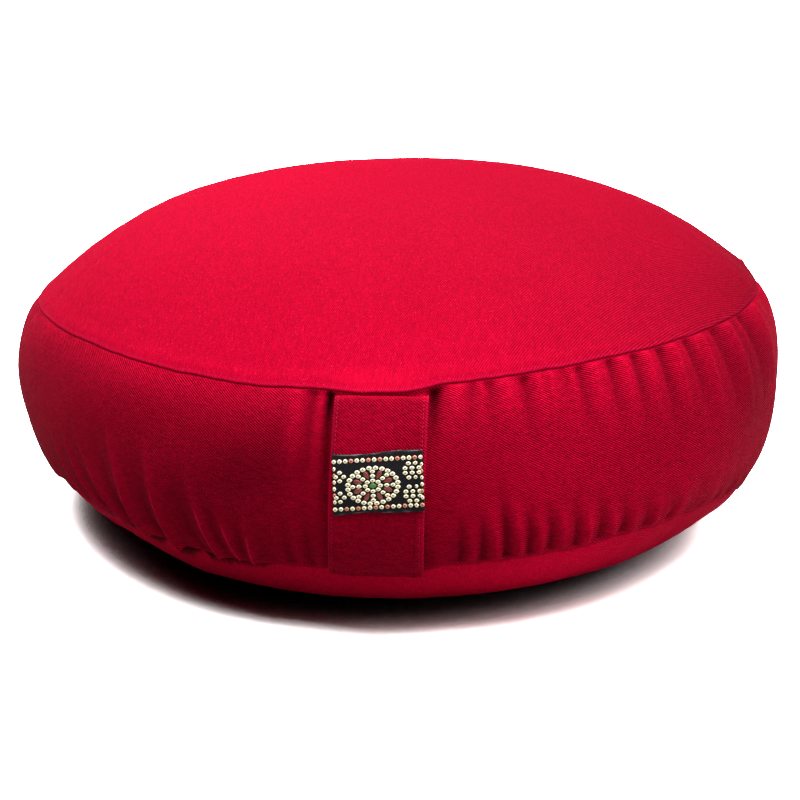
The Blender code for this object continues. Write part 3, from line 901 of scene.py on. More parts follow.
def weave_twill(shade, given, out):
    """Warp-faced twill: floats along the first coordinate, each row shifted a third of a float on."""
    split = shade.node("ShaderNodeSeparateXYZ")
    shade.feed(split.inputs[0], given["Vector"])
    along = shade.div(split.outputs[0], given["Float Period"])
    across = shade.div(split.outputs[1], given["Warp Pitch"])
    row = shade.math("FLOOR", across)
    shifted = shade.math("FRACT", shade.sub(along, shade.div(row, TWILL_ROWS)))
    floated = shade.math("MINIMUM", shade.mul(shifted, FLOAT_STRETCH), 1.0)
    rise = shade.math("SINE", shade.mul(floated, np.pi))
    yarn = shade.math("SINE", shade.mul(shade.math("FRACT", across), np.pi))
    slope = shade.sub(along, shade.div(across, TWILL_ROWS))
    line = shade.mul_add(shade.math("SINE", shade.mul(slope, TAU)), 0.5, 0.5)
    number, pair = shade.add(slope, 0.25), shade.div(across, 1.5)
    cell = shade.vector(shade.math("FLOOR", number), shade.math("FLOOR", pair))
    dash = shade.node("ShaderNodeTexWhiteNoise", noise_dimensions="2D")
    shade.feed(dash.inputs["Vector"], cell)
    dash = dash.outputs["Value"]
    scaled = [shade.mul(split.outputs[axis], scale) for axis, scale in enumerate(SLUB_SCALES)]
    slub = shade.noise(shade.vector(*scaled), 1.0, 3.0, 0.6)
    ridge = shade.mul(line, shade.mul_add(dash, *WALE_RIDGE))
    height = shade.mul_add(shade.mul(rise, yarn), YARN_RISE, ridge)
    shade.feed(out["Height"], shade.mul_add(slub, SLUB_RISE, height))
    shade.feed(out["Wale"], line)
    shade.feed(out["Slub"], slub)
    shade.feed(out["Dash"], dash)


def scatter_lint_and_glints(shade, given, out):
    """Specks of lint and painted glints: the cells of a fine cell pattern whose random value is high."""
    cells = shade.node("ShaderNodeTexVoronoi")
    shade.give(cells, Vector=given["Vector"], Scale=given["Scale"])
    near = shade.sub(1.0, shade.div(cells.outputs["Distance"], given["Size"]))
    tone = shade.node("ShaderNodeSeparateColor")
    shade.feed(tone.inputs[0], cells.outputs["Color"])
    picked = shade.math("LESS_THAN", tone.outputs[0], given["Share"])
    mask = shade.mul(shade.math("MAXIMUM", near, 0.0), picked)
    shade.feed(out["Mask"], shade.mul(mask, tone.outputs[1]))


def mottle_cloth(shade, given, out):
    """Slow unevenness of dye, and fine unevenness of pile."""
    shade.feed(out["Wide"], shade.noise(given["Vector"], given["Wide"], 3.0))
    shade.feed(out["Fine"], shade.noise(given["Vector"], given["Fine"], 2.0, 0.7))


# What fills each shader group, its inputs beside the vector with their defaults, and its outputs.
GROUPS = {
    "Twill Weave": (weave_twill, {"Float Period": FLOAT_PERIOD, "Warp Pitch": WARP_PITCH},
                    ("Height", "Wale", "Slub", "Dash")),
    "Cotton Lint": (scatter_lint_and_glints, {"Scale": 420.0, "Share": 0.06, "Size": 0.3}, ("Mask",)),
    "Cloth Mottle": (mottle_cloth, {"Wide": 28.0, "Fine": 900.0}, ("Wide", "Fine")),
}


def shared_group(name):
    """A shader group of the table, made when a material first asks for it."""
    if name not in bpy.data.node_groups:
        fill, inputs, outputs = GROUPS[name]
        tree = bpy.data.node_groups.new(name, "ShaderNodeTree")
        tree.interface.new_socket("Vector", in_out="INPUT", socket_type="NodeSocketVector")
        for label, default in inputs.items():
            socket = tree.interface.new_socket(label, in_out="INPUT", socket_type="NodeSocketFloat")
            socket.default_value = default
        for label in outputs:
            tree.interface.new_socket(label, in_out="OUTPUT", socket_type="NodeSocketFloat")
        shade = Shade(tree)
        fill(shade, shade.node("NodeGroupInput").outputs, shade.node("NodeGroupOutput").inputs)
    return bpy.data.node_groups[name]


def rgba(colour, share=1.0):
    """A share of a colour, with full alpha."""
    return tuple(share * part for part in colour) + (1.0,)


def start_material(name):
    """A material with its Principled shader, ready to be fed."""
    material = bpy.data.materials.new(name)
    material.use_nodes = True
    shade = Shade(material.node_tree)
    return material, shade, material.node_tree.nodes["Principled BSDF"]


def twill_material(name, colours, float_period, warp_pitch, wale_depth):
    """Crimson cotton twill: wale lines, slubs, painted sparkle and lint over a slight sheen of fine fibre
    ends.
    """
    material, shade, shader = start_material(name)
    place = shade.node("ShaderNodeTexCoord").outputs["Object"]
    flat = shade.node("ShaderNodeUVMap", uv_map="cloth").outputs[0]
    weave = shade.group("Twill Weave", Vector=flat, Float_Period=float_period, Warp_Pitch=warp_pitch)
    mottle = shade.group("Cloth Mottle", Vector=place)
    sparkle = shade.group("Cotton Lint", Vector=flat, Scale=1150.0, Share=0.34, Size=0.45)
    lint = shade.group("Cotton Lint", Vector=place, Scale=210.0, Share=0.04, Size=0.13)
    mask = {label: shade.node("ShaderNodeAttribute", attribute_name=label).outputs["Fac"]
            for label in ("wear", "crease", "aside", "fold", "groove", "side", "tone")}
    # The light thread colour, for real wear and lint and for painted glints and crest highlights.
    raised = rgba(colours.cloth_light)
    flat_wales = FLAT_WALE_SHARE * wale_depth
    contrast = shade.mul_add(mask["side"], wale_depth - flat_wales, flat_wales)
    lines = shade.mul(shade.sub(weave["Wale"], 0.5), contrast)
    tone = shade.mul_add(weave["Slub"], *SLUB_TONE)
    tone = shade.add(shade.mul_add(mottle["Fine"], *PILE_TONE), tone)
    tone = shade.add(shade.mul_add(weave["Dash"], *DASH_TONE), tone)
    evenness = shade.mul_add(mask["side"], 1.0 - FLAT_TONE_SHARE, FLAT_TONE_SHARE)
    tone = shade.mul_add(tone, evenness, 0.5)
    shown = shade.remap(shade.add(tone, lines), 0.0, 1.0)
    colour = shade.mix(shown, rgba(colours.cloth, DARK_THREAD), rgba(colours.cloth, PALE_THREAD))
    # Painted glints: bright specks, mostly on the wales.
    glint = shade.mul(sparkle["Mask"], shade.mul_add(weave["Wale"], *GLINT_ON_WALES))
    colour = shade.mix(glint, colour, raised)
    worn = shade.mul(mask["wear"], shade.mul_add(weave["Wale"], *WEAR_ON_WALES))
    colour = shade.mix(worn, colour, raised)
    # A painted highlight line along each sharp crest.
    aside = shade.math("ABSOLUTE", mask["aside"])
    crest = shade.mul(mask["crease"], shade.remap(aside, 0.0, 2.0 * CREST_HIGHLIGHT_HALF_WIDTH, 1.0, 0.0))
    crest = shade.mul(crest, CREST_HIGHLIGHT_COVER)
    colour = shade.mix(crest, colour, rgba(colours.cloth_light, CREST_HIGHLIGHT_THREAD))
    colour = shade.mix(lint["Mask"], colour, raised)
    # Painted shade in the hollows of the folds and painted light on their ridges, shifted by real unevenness
    # of dye.
    painted_light_and_dye = shade.mul_add(mottle["Wide"], DYE_SHIFT, mask["fold"])
    painted_light_and_dye = shade.remap(painted_light_and_dye, *FOLD_HEIGHTS, *FOLD_PAINTED_LIGHT)
    # Painted shade beside the seams, under the lobes and in the pockets at the strap's start.
    painted_light_and_dye = shade.mul(painted_light_and_dye, shade.remap(mask["groove"], 0.0, 1.0, 1.0, PAINTED_SHADE_TONE))
    # The panels' painted light and shade.
    painted_light_and_dye = shade.mul(painted_light_and_dye, mask["tone"])
    scale = shade.node("ShaderNodeVectorMath", operation="SCALE")
    shade.feed(scale.inputs[0], colour)
    shade.feed(scale.inputs["Scale"], painted_light_and_dye)
    relief = shade.mul(shade.mul_add(mottle["Fine"], PILE_RISE, weave["Height"]), evenness)
    shade.bump(shader, relief, 1.0, TWILL_RELIEF)
    roughness = shade.remap(weave["Wale"], 0.0, 1.0, *TWILL_ROUGHNESS)
    shade.give(shader, Base_Color=scale.outputs[0], Roughness=roughness, IOR=1.25, Specular_IOR_Level=0.07,
               Specular_Tint=(1.0, 0.08, 0.3, 1.0), Sheen_Weight=0.02, Sheen_Roughness=0.35,
               Sheen_Tint=(1.0, 0.05, 0.22, 1.0))
    return material


# ---------------- the cover


class CUSHION_OT_cover(bpy.types.Operator):
    """Sew the top, side and base panels into the filled cover"""

    bl_idname = "cushion.cover"
    bl_label = "Cover"

    def execute(self, context):
        sizes, colours = context.scene.cushion_sizes, context.scene.cushion_colours
        share = np.linspace(0.0, TAU, SEGMENTS, endpoint=False)
        azimuth = share - FRONT_CROWDING * np.sin(share)
        stations = ring_stations()
        rings, masks = cover_surface(azimuth[None, :], stations[:, None], sizes)
        flat = rings[-1:] * np.array(FLAT_RINGS)[:, None, None]
        flat[..., 2] = 0.0
        rings = np.concatenate([rings, flat])
        points = np.concatenate([rings.reshape(-1, 3), [[0.0, 0.0, sizes.height], [0.0, 0.0, 0.0]]])
        cover = build_mesh("cushion_cover", points, closed_tube_faces(len(rings), SEGMENTS))
        masks["fold"] = local_relief(masks["fold"])
        for name, values in masks.items():
            rest = np.full(len(points) - values.size, BASE_PAINTED_LIGHT if name == "tone" else 0.0)
            rest[-2] = values[0].mean()
            set_point_values(cover, name, np.concatenate([values.ravel(), rest]))
        set_cloth_map(cover, self.flat_cloth(azimuth, stations))
        twill = twill_material("crimson_twill", colours, FLOAT_PERIOD, WARP_PITCH, COVER_WALE_DEPTH)
        finish_piece(cover, twill)
        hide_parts("cushion")
        return {"FINISHED"}

    def flat_cloth(self, azimuth, stations):
        """Flat coordinates of every face corner.

        Round panels keep each point's azimuth and its length from the middle. The side panel has its girth
        and its depth below the upper seam.
        """
        turned = np.concatenate([azimuth, [azimuth[0] + TAU]])[None, :]
        along = np.concatenate([stations, np.full(len(FLAT_RINGS), 3.0)])[:, None]
        crown = along * CROWN_LENGTH
        base = REST_RADIUS + (3.0 - along) * BASE_LENGTH
        base[len(stations):, 0] = REST_RADIUS * np.array(FLAT_RINGS)
        depth = (along - 1.0) * SIDE_LENGTH + 0.0 * turned
        girth = turned / TAU * SIDE_GIRTH + 0.0 * along
        panels = [quad_corners(np.stack(pair, axis=-1)) for pair in (
            (-crown * np.cos(turned), crown * np.sin(turned)),
            (girth, depth),
            (-base * np.cos(turned), base * np.sin(turned)),
        )]
        row = np.repeat(np.arange(len(along) - 1), SEGMENTS * 4)
        first_side, first_base = np.searchsorted(stations, [1.0, 2.0])
        corners = np.where((row < first_side)[:, None], panels[0], panels[1])
        corners = np.where((row >= first_base)[:, None], panels[2], corners)
        ring = np.stack([-np.cos(turned[0]), np.sin(turned[0])], axis=-1)
        top_rim, base_rim = crown[0, 0] * ring, base[-1, 0] * ring
        middle = np.zeros((SEGMENTS, 2))
        cap = np.stack([middle, top_rim[:-1], top_rim[1:]], axis=1)
        foot = np.stack([base_rim[:-1], middle, base_rim[1:]], axis=1)
        return np.concatenate([corners, cap.reshape(-1, 2), foot.reshape(-1, 2)])


# ---------------- the handle strap


def along_front(value, given, wanted, sizes):
    """Read one measure of the side panel's front section, and a little of the base, from another.

    The measures are station, length below the upper seam, and drop: the height with its sign turned.
    """
    station = np.linspace(1.0, FRONT_END, FRONT_POINTS)
    place, _, _ = cover_frame(np.zeros(station.shape), station, sizes.height)
    length = np.concatenate([[0.0], np.cumsum(np.linalg.norm(np.diff(place, axis=0), axis=-1))])
    measures = {"station": station, "length": length, "drop": -place[:, 1]}
    return np.interp(value, measures[given], measures[wanted])


def strap_end(sizes):
    """Length of the strap: nearly to the solid's own lower end."""
    return float(along_front(-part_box("handle_strap")[0].z, "drop", "length", sizes)) - STRAP_SHORT


def strap_seat(across, down, lift, sizes):
    """A place over the strap's seat: straight across its width and bowed off the side panel.

    down is the length below the upper seam. The strap's start dives into that seam, and its end lies over
    the lower one.
    """
    station = along_front(down, "length", "station", sizes)
    place, _, normal = cover_frame(np.zeros(down.shape), station, sizes.height)
    share = np.clip(down / strap_end(sizes), 0.0, 1.0)
    bow = STRAP_SEAT_GAP + STRAP_STAND_OFF * np.sin(np.pi * share)
    dive = STRAP_DIVE * bell(np.maximum(down - STRAP_START, 0.0), STRAP_START_REACH)
    off = bow + lift - dive - across**2 / (2.0 * STRAP_CROSS_RADIUS)
    place = place + normal * off[..., None]
    aside = STRAP_TOP_ASIDE + (STRAP_END_ASIDE - STRAP_TOP_ASIDE) * share
    across = across * (1.0 + STRAP_END_WIDER * share) + aside
    return np.stack([across, -place[..., 0], place[..., 1]], axis=-1)


def strap_relief(across, down, sizes):
    """Raised right hem, sunk stitch lines and a soft crosswise sag and ruck of the strap's outer face."""
    half = sizes.strap_width / 2
    end = strap_end(sizes)
    from_right = half - across
    hem = HEM_RISE / (1.0 + np.exp((from_right - STRAP_HEM) / HEM_SOFTNESS))
    left, right, cross = STITCH_SPREADS
    lines = bell(half + across - STRAP_LEFT_STITCH, left) + bell(from_right - STRAP_RIGHT_STITCH, right)
    lines += CROSS_STITCH_SHARE * bell(down - end + STRAP_CROSS_STITCH, cross)
    turns, length = STRAP_SAG_WAVES
    sag = np.sin(across / half * turns + down / length) * np.sin(np.pi * np.clip(down / end, 0.0, 1.0))
    width, phase = STRAP_RUCK_WAVES
    ruck = np.exp(-down / STRAP_RUCK_REACH) * np.sin(across / width + phase)
    return hem - STITCH_SINK * lines + STRAP_SAG * sag + STRAP_RUCK * ruck


class CUSHION_OT_strap(bpy.types.Operator):
    """Sew the hemmed handle strap on, with its topstitching"""

    bl_idname = "cushion.strap"
    bl_label = "Handle strap"

    def execute(self, context):
        sizes, colours = context.scene.cushion_sizes, context.scene.cushion_colours
        strap = self.make_strap(sizes)
        weave = (STRAP_FLOAT_PERIOD, STRAP_WARP_PITCH, STRAP_WALE_DEPTH)
        twill = twill_material("strap_twill", colours, *weave)
        finish_piece(strap, twill)
        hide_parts("handle_strap")
        stitches = self.make_stitches(sizes)
        finish_piece(stitches, thread_material("topstitch_thread", colours.thread))
        strap_end(sizes)
        return {"FINISHED"}

    def make_strap(self, sizes):
        """A flat tube of cloth: a superellipse section round the strap, swept from seam to seam."""
        down = np.linspace(0.0, strap_end(sizes), STRAP_ROWS)[:, None]
        turn = np.linspace(0.0, TAU, STRAP_ROUND, endpoint=False)[None, :]
        flatness, thinness = STRAP_SECTION_POWERS
        across, level, down = np.broadcast_arrays(
            signed_power(np.cos(turn), flatness), signed_power(np.sin(turn), thinness), down)
        wide = across * sizes.strap_width / 2
        relief = strap_relief(wide, down, sizes) * (level > 0)
        lift = (level + 1.0) / 2 * sizes.strap_thickness * STRAP_BODY_SHARE + relief
        rings = strap_seat(wide, down, lift, sizes)
        points = np.concatenate([rings.reshape(-1, 3), rings[[0, -1]].mean(axis=1)])
        strap = build_mesh("handle_strap_cloth", points, closed_tube_faces(STRAP_ROWS, STRAP_ROUND))
        flat = np.concatenate([np.stack([wide.ravel(), down.ravel()], axis=-1), np.zeros((2, 2))])
        set_cloth_map(strap, flat[loop_points(strap)])
        edge = STRAP_EDGE_WEAR * bell(sizes.strap_width / 2 - np.abs(wide), STRAP_EDGE_REACH)
        # The relief also gives painted shade in the stitch lines and painted light on the hem; the edges are
        # worn.
        for name, values in (("fold", relief / MM), ("wear", edge)):
            set_point_values(strap, name, np.concatenate([values.ravel(), np.zeros(2)]))
        for name in ("side", "tone"):
            set_point_values(strap, name, np.ones(len(points)))
        return strap

    def make_stitches(self, sizes):
        """Rows of short thread beads: down both edges, and across near the lower end."""
        half, end = sizes.strap_width / 2, strap_end(sizes)
        pitch = sizes.stitch_length * STITCH_PITCH_SHARE
        along = np.arange(STITCH_FROM_TOP, end - STITCH_FROM_RIM, pitch)
        beside = np.arange(-half + STITCH_FROM_RIM, half - STITCH_FROM_RIM, pitch)
        edges = (-half + STRAP_LEFT_STITCH, half - STRAP_RIGHT_STITCH)
        rows = [(np.full(along.shape, edge), along, 0.0) for edge in edges]
        rows.append((beside, np.full(beside.shape, end - STRAP_CROSS_STITCH), 1.0))
        places, steps = [], []
        for across, down, is_cross in rows:
            lift = sizes.strap_thickness * STRAP_BODY_SHARE + strap_relief(across, down, sizes)
            here = strap_seat(across, down, lift, sizes)
            ahead = strap_seat(across + is_cross * MM, down + (1.0 - is_cross) * MM, lift, sizes)
            places.append(here)
            steps.append(unit(ahead - here))
        places, steps = np.concatenate(places), np.concatenate(steps)
        outward = np.tile([0.0, -1.0, 0.0], (len(places), 1))
        normals = np.cross(unit(np.cross(steps, outward)), steps)
        bead = (sizes.stitch_length / 2, STITCH_HALF_WIDTH, STITCH_HEIGHT, 0.0)
        return bead_mesh("strap_topstitching", places, steps, normals, bead)


def thread_material(name, colour):
    """Spun sewing thread: two tones twisted by a fine noise."""
    material, shade, shader = start_material(name)
    place = shade.node("ShaderNodeTexCoord").outputs["Object"]
    tone = shade.mix(shade.noise(place, 2600.0, 1.0), rgba(colour, 0.55), rgba(colour))
    shade.give(shader, Base_Color=tone, Roughness=0.7, Specular_IOR_Level=0.04)
    return material


# A bead's mesh: points round it, the levels of its rings as shares of its height, and its plan's power.
BEAD_AROUND = 12
BEAD_LEVELS = (-0.5, 0.0, 0.45, 0.8, 0.93)
BEAD_POWER = 1.2


def bead_mesh(name, places, steps, normals, bead, colours=None, eye=1.0):
    """Many small domes as one closed mesh with flat undersides.

    The bead is half length, half width, height and taper. Each plan is a superellipse a little sharper than
    an ellipse, which the taper narrows towards one end. The eye is the share of its colour that is left at a
    dome's top.
    """
    around, rise = BEAD_AROUND, np.array(BEAD_LEVELS)
    turn = np.linspace(0.0, TAU, around, endpoint=False)
    reach = np.sqrt(1.0 - np.maximum(rise, 0.0) ** 2)
    plan = np.stack([signed_power(part, BEAD_POWER) for part in (np.cos(turn), np.sin(turn))], axis=-1)
    count = len(places)
    length, width, tall, narrow = (np.broadcast_to(size, count)[:, None, None, None] for size in bead)
    ahead = plan[None, None, :, :1]
    aside = plan[None, None, :, 1:] * (1.0 + narrow * ahead)
    forward, out = steps[:, None, None, :], normals[:, None, None, :]
    ring = reach[None, :, None, None] * (length * ahead * forward + width * aside * np.cross(out, forward))
    body = places[:, None, None, :] + ring + tall * rise[None, :, None, None] * out
    top = places + normals * tall[:, 0, 0]
    bottom = places + rise[0] * normals * tall[:, 0, 0]
    rings = len(rise)
    each = rings * around + 2
    points = np.concatenate([body.reshape(count, -1, 3), top[:, None], bottom[:, None]], axis=1)
    wall = grid_faces(rings, around, True)[:, ::-1]
    first = np.arange(around)
    last = first + (rings - 1) * around
    crown = np.stack([last, np.roll(last, -1), np.full(around, each - 2)], axis=-1)
    under = np.stack([np.roll(first, -1), first, np.full(around, each - 1)], axis=-1)
    offset = (np.arange(count) * each)[:, None, None]
    faces = []
    for part in (wall, crown, under):
        faces += (part + offset).reshape(-1, part.shape[1]).tolist()
    made = build_mesh(name, points.reshape(-1, 3), faces)
    if colours is not None:
        shades = np.repeat(colours[:, None], each, axis=1)
        shades[:, each - 2 - around:each - 1] *= np.broadcast_to(eye, count)[:, None, None]
        set_point_colours(made, "thread", shades.reshape(-1, 3))
    return made


# ---------------- the trim ribbon


def ribbon_place(across, up, lift, sizes):
    """A place on the ribbon, from flat coordinates about its middle, turned and laid over the strap."""
    turn = np.radians(BAND_TURN)
    over = BAND_ASIDE + across * np.cos(turn) - up * np.sin(turn)
    raised = across * np.sin(turn) + up * np.cos(turn)
    low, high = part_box("trim_band")
    down = along_front(-(low + high).z / 2, "drop", "length", sizes) + BAND_LOWER - raised
    seat = (sizes.strap_thickness + strap_relief(over, down, sizes)) * STRAP_BODY_SHARE + BAND_SEAT_GAP
    return strap_seat(over, down, seat + lift, sizes)


class CUSHION_OT_ribbon(bpy.types.Operator):
    """Sew the dotted trim ribbon across the strap"""

    bl_idname = "cushion.ribbon"
    bl_label = "Trim ribbon"

    def execute(self, context):
        sizes, colours = context.scene.cushion_sizes, context.scene.cushion_colours
        ribbon = self.make_ribbon(sizes)
        finish_piece(ribbon, ribbon_material(colours.ribbon))
        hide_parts("trim_band")
        dots = self.make_dots(sizes, colours)
        finish_piece(dots, dot_material())
        return {"FINISHED"}

    def make_ribbon(self, sizes):
        """A thin sheet with thicker selvedges, closed round its rim."""
        rows, columns = RIBBON_ROWS, RIBBON_COLUMNS
        up = np.linspace(0.5, -0.5, rows)[:, None] * sizes.ribbon_height
        across = np.linspace(-0.5, 0.5, columns)[None, :] * sizes.ribbon_width
        across, up = np.broadcast_arrays(across, up)
        near_edge = (np.abs(up) / sizes.ribbon_height * 2) ** 4
        turns, phase = RIBBON_BEND_WAVES
        bend = np.cos(across / sizes.ribbon_width * turns + phase) * np.sign(-up) * near_edge * RIBBON_BEND
        from_edge = sizes.ribbon_height / 2 - np.abs(up)
        selvedge = SELVEDGE_RISE * bell(from_edge - SELVEDGE_AT, SELVEDGE_SPREAD)
        front = ribbon_place(across, up + bend, sizes.ribbon_thickness * RIBBON_BODY_SHARE + selvedge, sizes)
        back = ribbon_place(across, up + bend, np.zeros(across.shape), sizes)
        points = np.concatenate([front.reshape(-1, 3), back.reshape(-1, 3)])
        faces = grid_faces(rows, columns, False)
        count = rows * columns
        index = np.arange(count).reshape(rows, columns)
        rim = np.concatenate([index[0, :-1], index[:-1, -1], index[-1, :0:-1], index[:0:-1, 0]])
        ahead = np.roll(rim, -1)
        edge = np.stack([rim, ahead, ahead + count, rim + count], axis=-1)
        all_faces = faces.tolist() + (faces[:, ::-1] + count).tolist() + edge.tolist()
        ribbon = build_mesh("trim_ribbon_cloth", points, all_faces)
        flat = np.tile(np.stack([across.ravel(), up.ravel()], axis=-1), (2, 1))
        set_cloth_map(ribbon, flat[loop_points(ribbon)])
        return ribbon

    def make_dots(self, sizes, colours):
        """The ribbon's woven dots: a wheel of eight spokes between two borders and small rosettes."""
        rows = wheel_dots() + rosette_dots() + border_dots()
        table = np.array([row[:6] for row in rows])
        shades = np.array([tuple(getattr(colours, row[6])) for row in rows])
        taper = np.array([PETAL_TAPER if row[6] == "petal" else 0.0 for row in rows])
        eye = np.array([DOT_EYE if row[6] in ("cream", "coral") else 1.0 for row in rows])
        across, up, half_long, half_wide = table[:, :4].T * MM
        turn, height = np.radians(table[:, 4]), table[:, 5] * MM
        lift = np.full(across.shape, sizes.ribbon_thickness * RIBBON_BODY_SHARE)
        here = ribbon_place(across, up, lift, sizes)
        nearby = 0.2 * MM
        ahead = ribbon_place(across + np.cos(turn) * nearby, up + np.sin(turn) * nearby, lift, sizes)
        aside = ribbon_place(across - np.sin(turn) * nearby, up + np.cos(turn) * nearby, lift, sizes)
        step = unit(ahead - here)
        normal = unit(np.cross(step, aside - here))
        bead = (half_long, half_wide, height, taper)
        return bead_mesh("trim_ribbon_dots", here, step, normal, bead, shades, eye)


# The ribbon's pattern, in millimetres from its middle: the wheel, the diamonds on its left and the clusters
# on its right, with their levels and steps, and the borders with the dots of the cut ends.
WHEEL_CENTRE = (-1.9, -0.9)
WHEEL_HALF = (9.0, 6.2)
WHEEL_RING_DOTS = 24
WHEEL_SPOKES = 8
SPOKE_REACH = (0.30, 0.555, 0.80)
PETAL_REACH = 0.64
DIAMOND_AT = -13.7
DIAMOND_LEVELS = (2.8, -4.4)
DIAMOND_STEP = 1.45
CLUSTER_AT = 12.3
CLUSTER_LEVELS = (3.7, -4.4)
CLUSTER_STEPS = (2.5, 0.82)
CLUSTER_ROWS = ((3, (-0.5, 0.5)), (1, (-1, 0, 1)), (-1, (-1, 0, 1)), (-3, (-0.5, 0.5)))
BORDER_LEVELS = (8.1, -8.5)
BORDER_PITCH = 2.08
BORDER_HALF = 15.7
CORAL_FROM = 0.62
END_DOTS = 6
END_TOP = 5.6
END_PITCH = 2.3

# Its dots: half length, half width, turn in degrees, height and tint. Then how far a petal tapers, and the
# share of its colour that is left at a dot's top.
MIDDLE_DOT = (1.35, 0.95, 0.0, 0.3, "green")
RING_DOT = (1.02, 0.78, 0.0, 0.32, "cream")
SPOKE_DOT = (0.95, 0.68, 0.0, 0.3, "cream")
DIAMOND_DOT = (0.88, 0.70, 0.0, 0.3, "cream")
CLUSTER_DOT = (0.92, 0.70, 0.0, 0.3, "cream")
BORDER_DOT = (0.86, 0.80, 0.0, 0.34)
END_DOT = (0.6, 0.78, 0.0, 0.3)
PETAL_SIZE = (1.65, 0.80)
PETAL_HEIGHT = 0.2
PETAL_TAPER = 0.55
DOT_EYE = 0.22


def wheel_place(turn, reach=1.0):
    """A place on the wheel's spoke at a turn and a share of its reach."""
    return (WHEEL_CENTRE[0] + WHEEL_HALF[0] * reach * np.cos(turn),
            WHEEL_CENTRE[1] + WHEEL_HALF[1] * reach * np.sin(turn))


def wheel_dots():
    """Ring, eight spokes of three dots, eight petals and the middle, as places and dots in a row."""
    rows = [WHEEL_CENTRE + MIDDLE_DOT]
    for index in range(WHEEL_RING_DOTS):
        rows.append(wheel_place(TAU * (index + 0.5) / WHEEL_RING_DOTS) + RING_DOT)
    for index in range(WHEEL_SPOKES):
        turn = TAU * index / WHEEL_SPOKES
        rows += [wheel_place(turn, reach) + SPOKE_DOT for reach in SPOKE_REACH]
        between = turn + TAU / WHEEL_SPOKES / 2
        lean = np.degrees(np.arctan2(WHEEL_HALF[1] * np.sin(between), WHEEL_HALF[0] * np.cos(between)))
        rows.append(wheel_place(between, PETAL_REACH) + PETAL_SIZE + (lean, PETAL_HEIGHT, "petal"))
    return rows


def rosette_dots():
    """Small diamonds of four dots on the left, and close-packed clusters of ten on the right."""
    rows = []
    for up in DIAMOND_LEVELS:
        for across, raised in ((1, 0), (0, 1), (-1, 0), (0, -1)):
            place = (DIAMOND_AT + DIAMOND_STEP * across, up + DIAMOND_STEP * raised)
            rows.append(place + DIAMOND_DOT)
    aside, above = CLUSTER_STEPS
    for up in CLUSTER_LEVELS:
        for level, steps in CLUSTER_ROWS:
            rows += [(CLUSTER_AT + aside * step, up + above * level) + CLUSTER_DOT for step in steps]
    return rows


def border_dots():
    """Rows of squarish dots along both borders and at both cut ends, some of them touched with coral."""
    rows = []
    for row, up in enumerate(BORDER_LEVELS):
        for index in range(int(2 * BORDER_HALF / BORDER_PITCH) + 1):
            tint = "coral" if (index * GOLDEN_PART + 0.4 * row) % 1.0 > CORAL_FROM else "cream"
            rows.append((-BORDER_HALF + index * BORDER_PITCH, up) + BORDER_DOT + (tint,))
    for across in (-BORDER_HALF, BORDER_HALF):
        for index in range(END_DOTS):
            tint = "coral" if index % 3 == 1 else "cream"
            rows.append((across, END_TOP - END_PITCH * index) + END_DOT + (tint,))
    return rows


def ribbon_material(colour):
    """Black ribbed ribbon with a few pale threads along its selvedges."""
    material, shade, shader = start_material("black_ribbon")
    flat = shade.node("ShaderNodeUVMap", uv_map="cloth").outputs[0]
    split = shade.node("ShaderNodeSeparateXYZ")
    shade.feed(split.inputs[0], flat)
    rib = shade.mul_add(shade.math("SINE", shade.mul(split.outputs[0], TAU / RIB_PITCH)), 0.5, 0.5)
    pick = shade.math("SINE", shade.mul(split.outputs[1], TAU / PICK_PITCH))
    slub = shade.noise(flat, 1500.0, 2.0)
    height = shade.mul_add(pick, 0.2, shade.mul_add(slub, 0.4, rib))
    at_edge = shade.remap(shade.math("ABSOLUTE", split.outputs[1]), *PALE_EDGE)
    stretched = shade.node("ShaderNodeVectorMath", operation="MULTIPLY")
    for socket, value in zip(stretched.inputs, (flat, (170.0, 2600.0, 0.0))):
        shade.feed(socket, value)
    frayed = shade.remap(shade.noise(stretched.outputs[0], 1.0, 2.0), 0.55, 0.62)
    pale = shade.mul(shade.mul(at_edge, frayed), PALE_EDGE_COVER)
    ground = shade.mix(slub, rgba(colour, 0.4), rgba(colour, 1.1))
    shade.bump(shader, height, 0.5, RIBBON_RELIEF)
    shade.give(shader, Base_Color=shade.mix(pale, ground, (0.24, 0.20, 0.20, 1.0)),
               Roughness=0.62, Specular_IOR_Level=0.12)
    return material


def dot_material():
    """Glossy woven dots in the colour of their own thread, with a fine noise of darker wear."""
    material, shade, shader = start_material("ribbon_dots")
    tint = shade.node("ShaderNodeAttribute", attribute_name="thread").outputs["Color"]
    place = shade.node("ShaderNodeTexCoord").outputs["Object"]
    worn = shade.remap(shade.noise(place, 2200.0, 2.0), 0.3, 0.75, 0.0, 0.12)
    shade.give(shader, Base_Color=shade.mix(worn, tint, (0.12, 0.09, 0.05, 1.0)),
               Roughness=0.36, Specular_IOR_Level=0.7)
    return material


# ---------------- loose threads


# Columns: azimuth in degrees, length in millimetres, lean in degrees, curl.
THREAD_ENDS = (
    (24.4, 2.4, 60.0, 0.9), (24.7, 1.7, 110.0, -0.7), (24.2, 1.3, 20.0, 0.5), (-10.6, 1.8, 80.0, 0.8),
    (-10.9, 1.2, 130.0, -0.6),
)
THREAD_RADIUS = 0.11 * MM
THREAD_THINNING = 0.5
THREAD_RISE = 0.6
THREAD_FROM_SEAM = 0.6 * MM
THREAD_POINTS = 9
THREAD_ROUND = 6


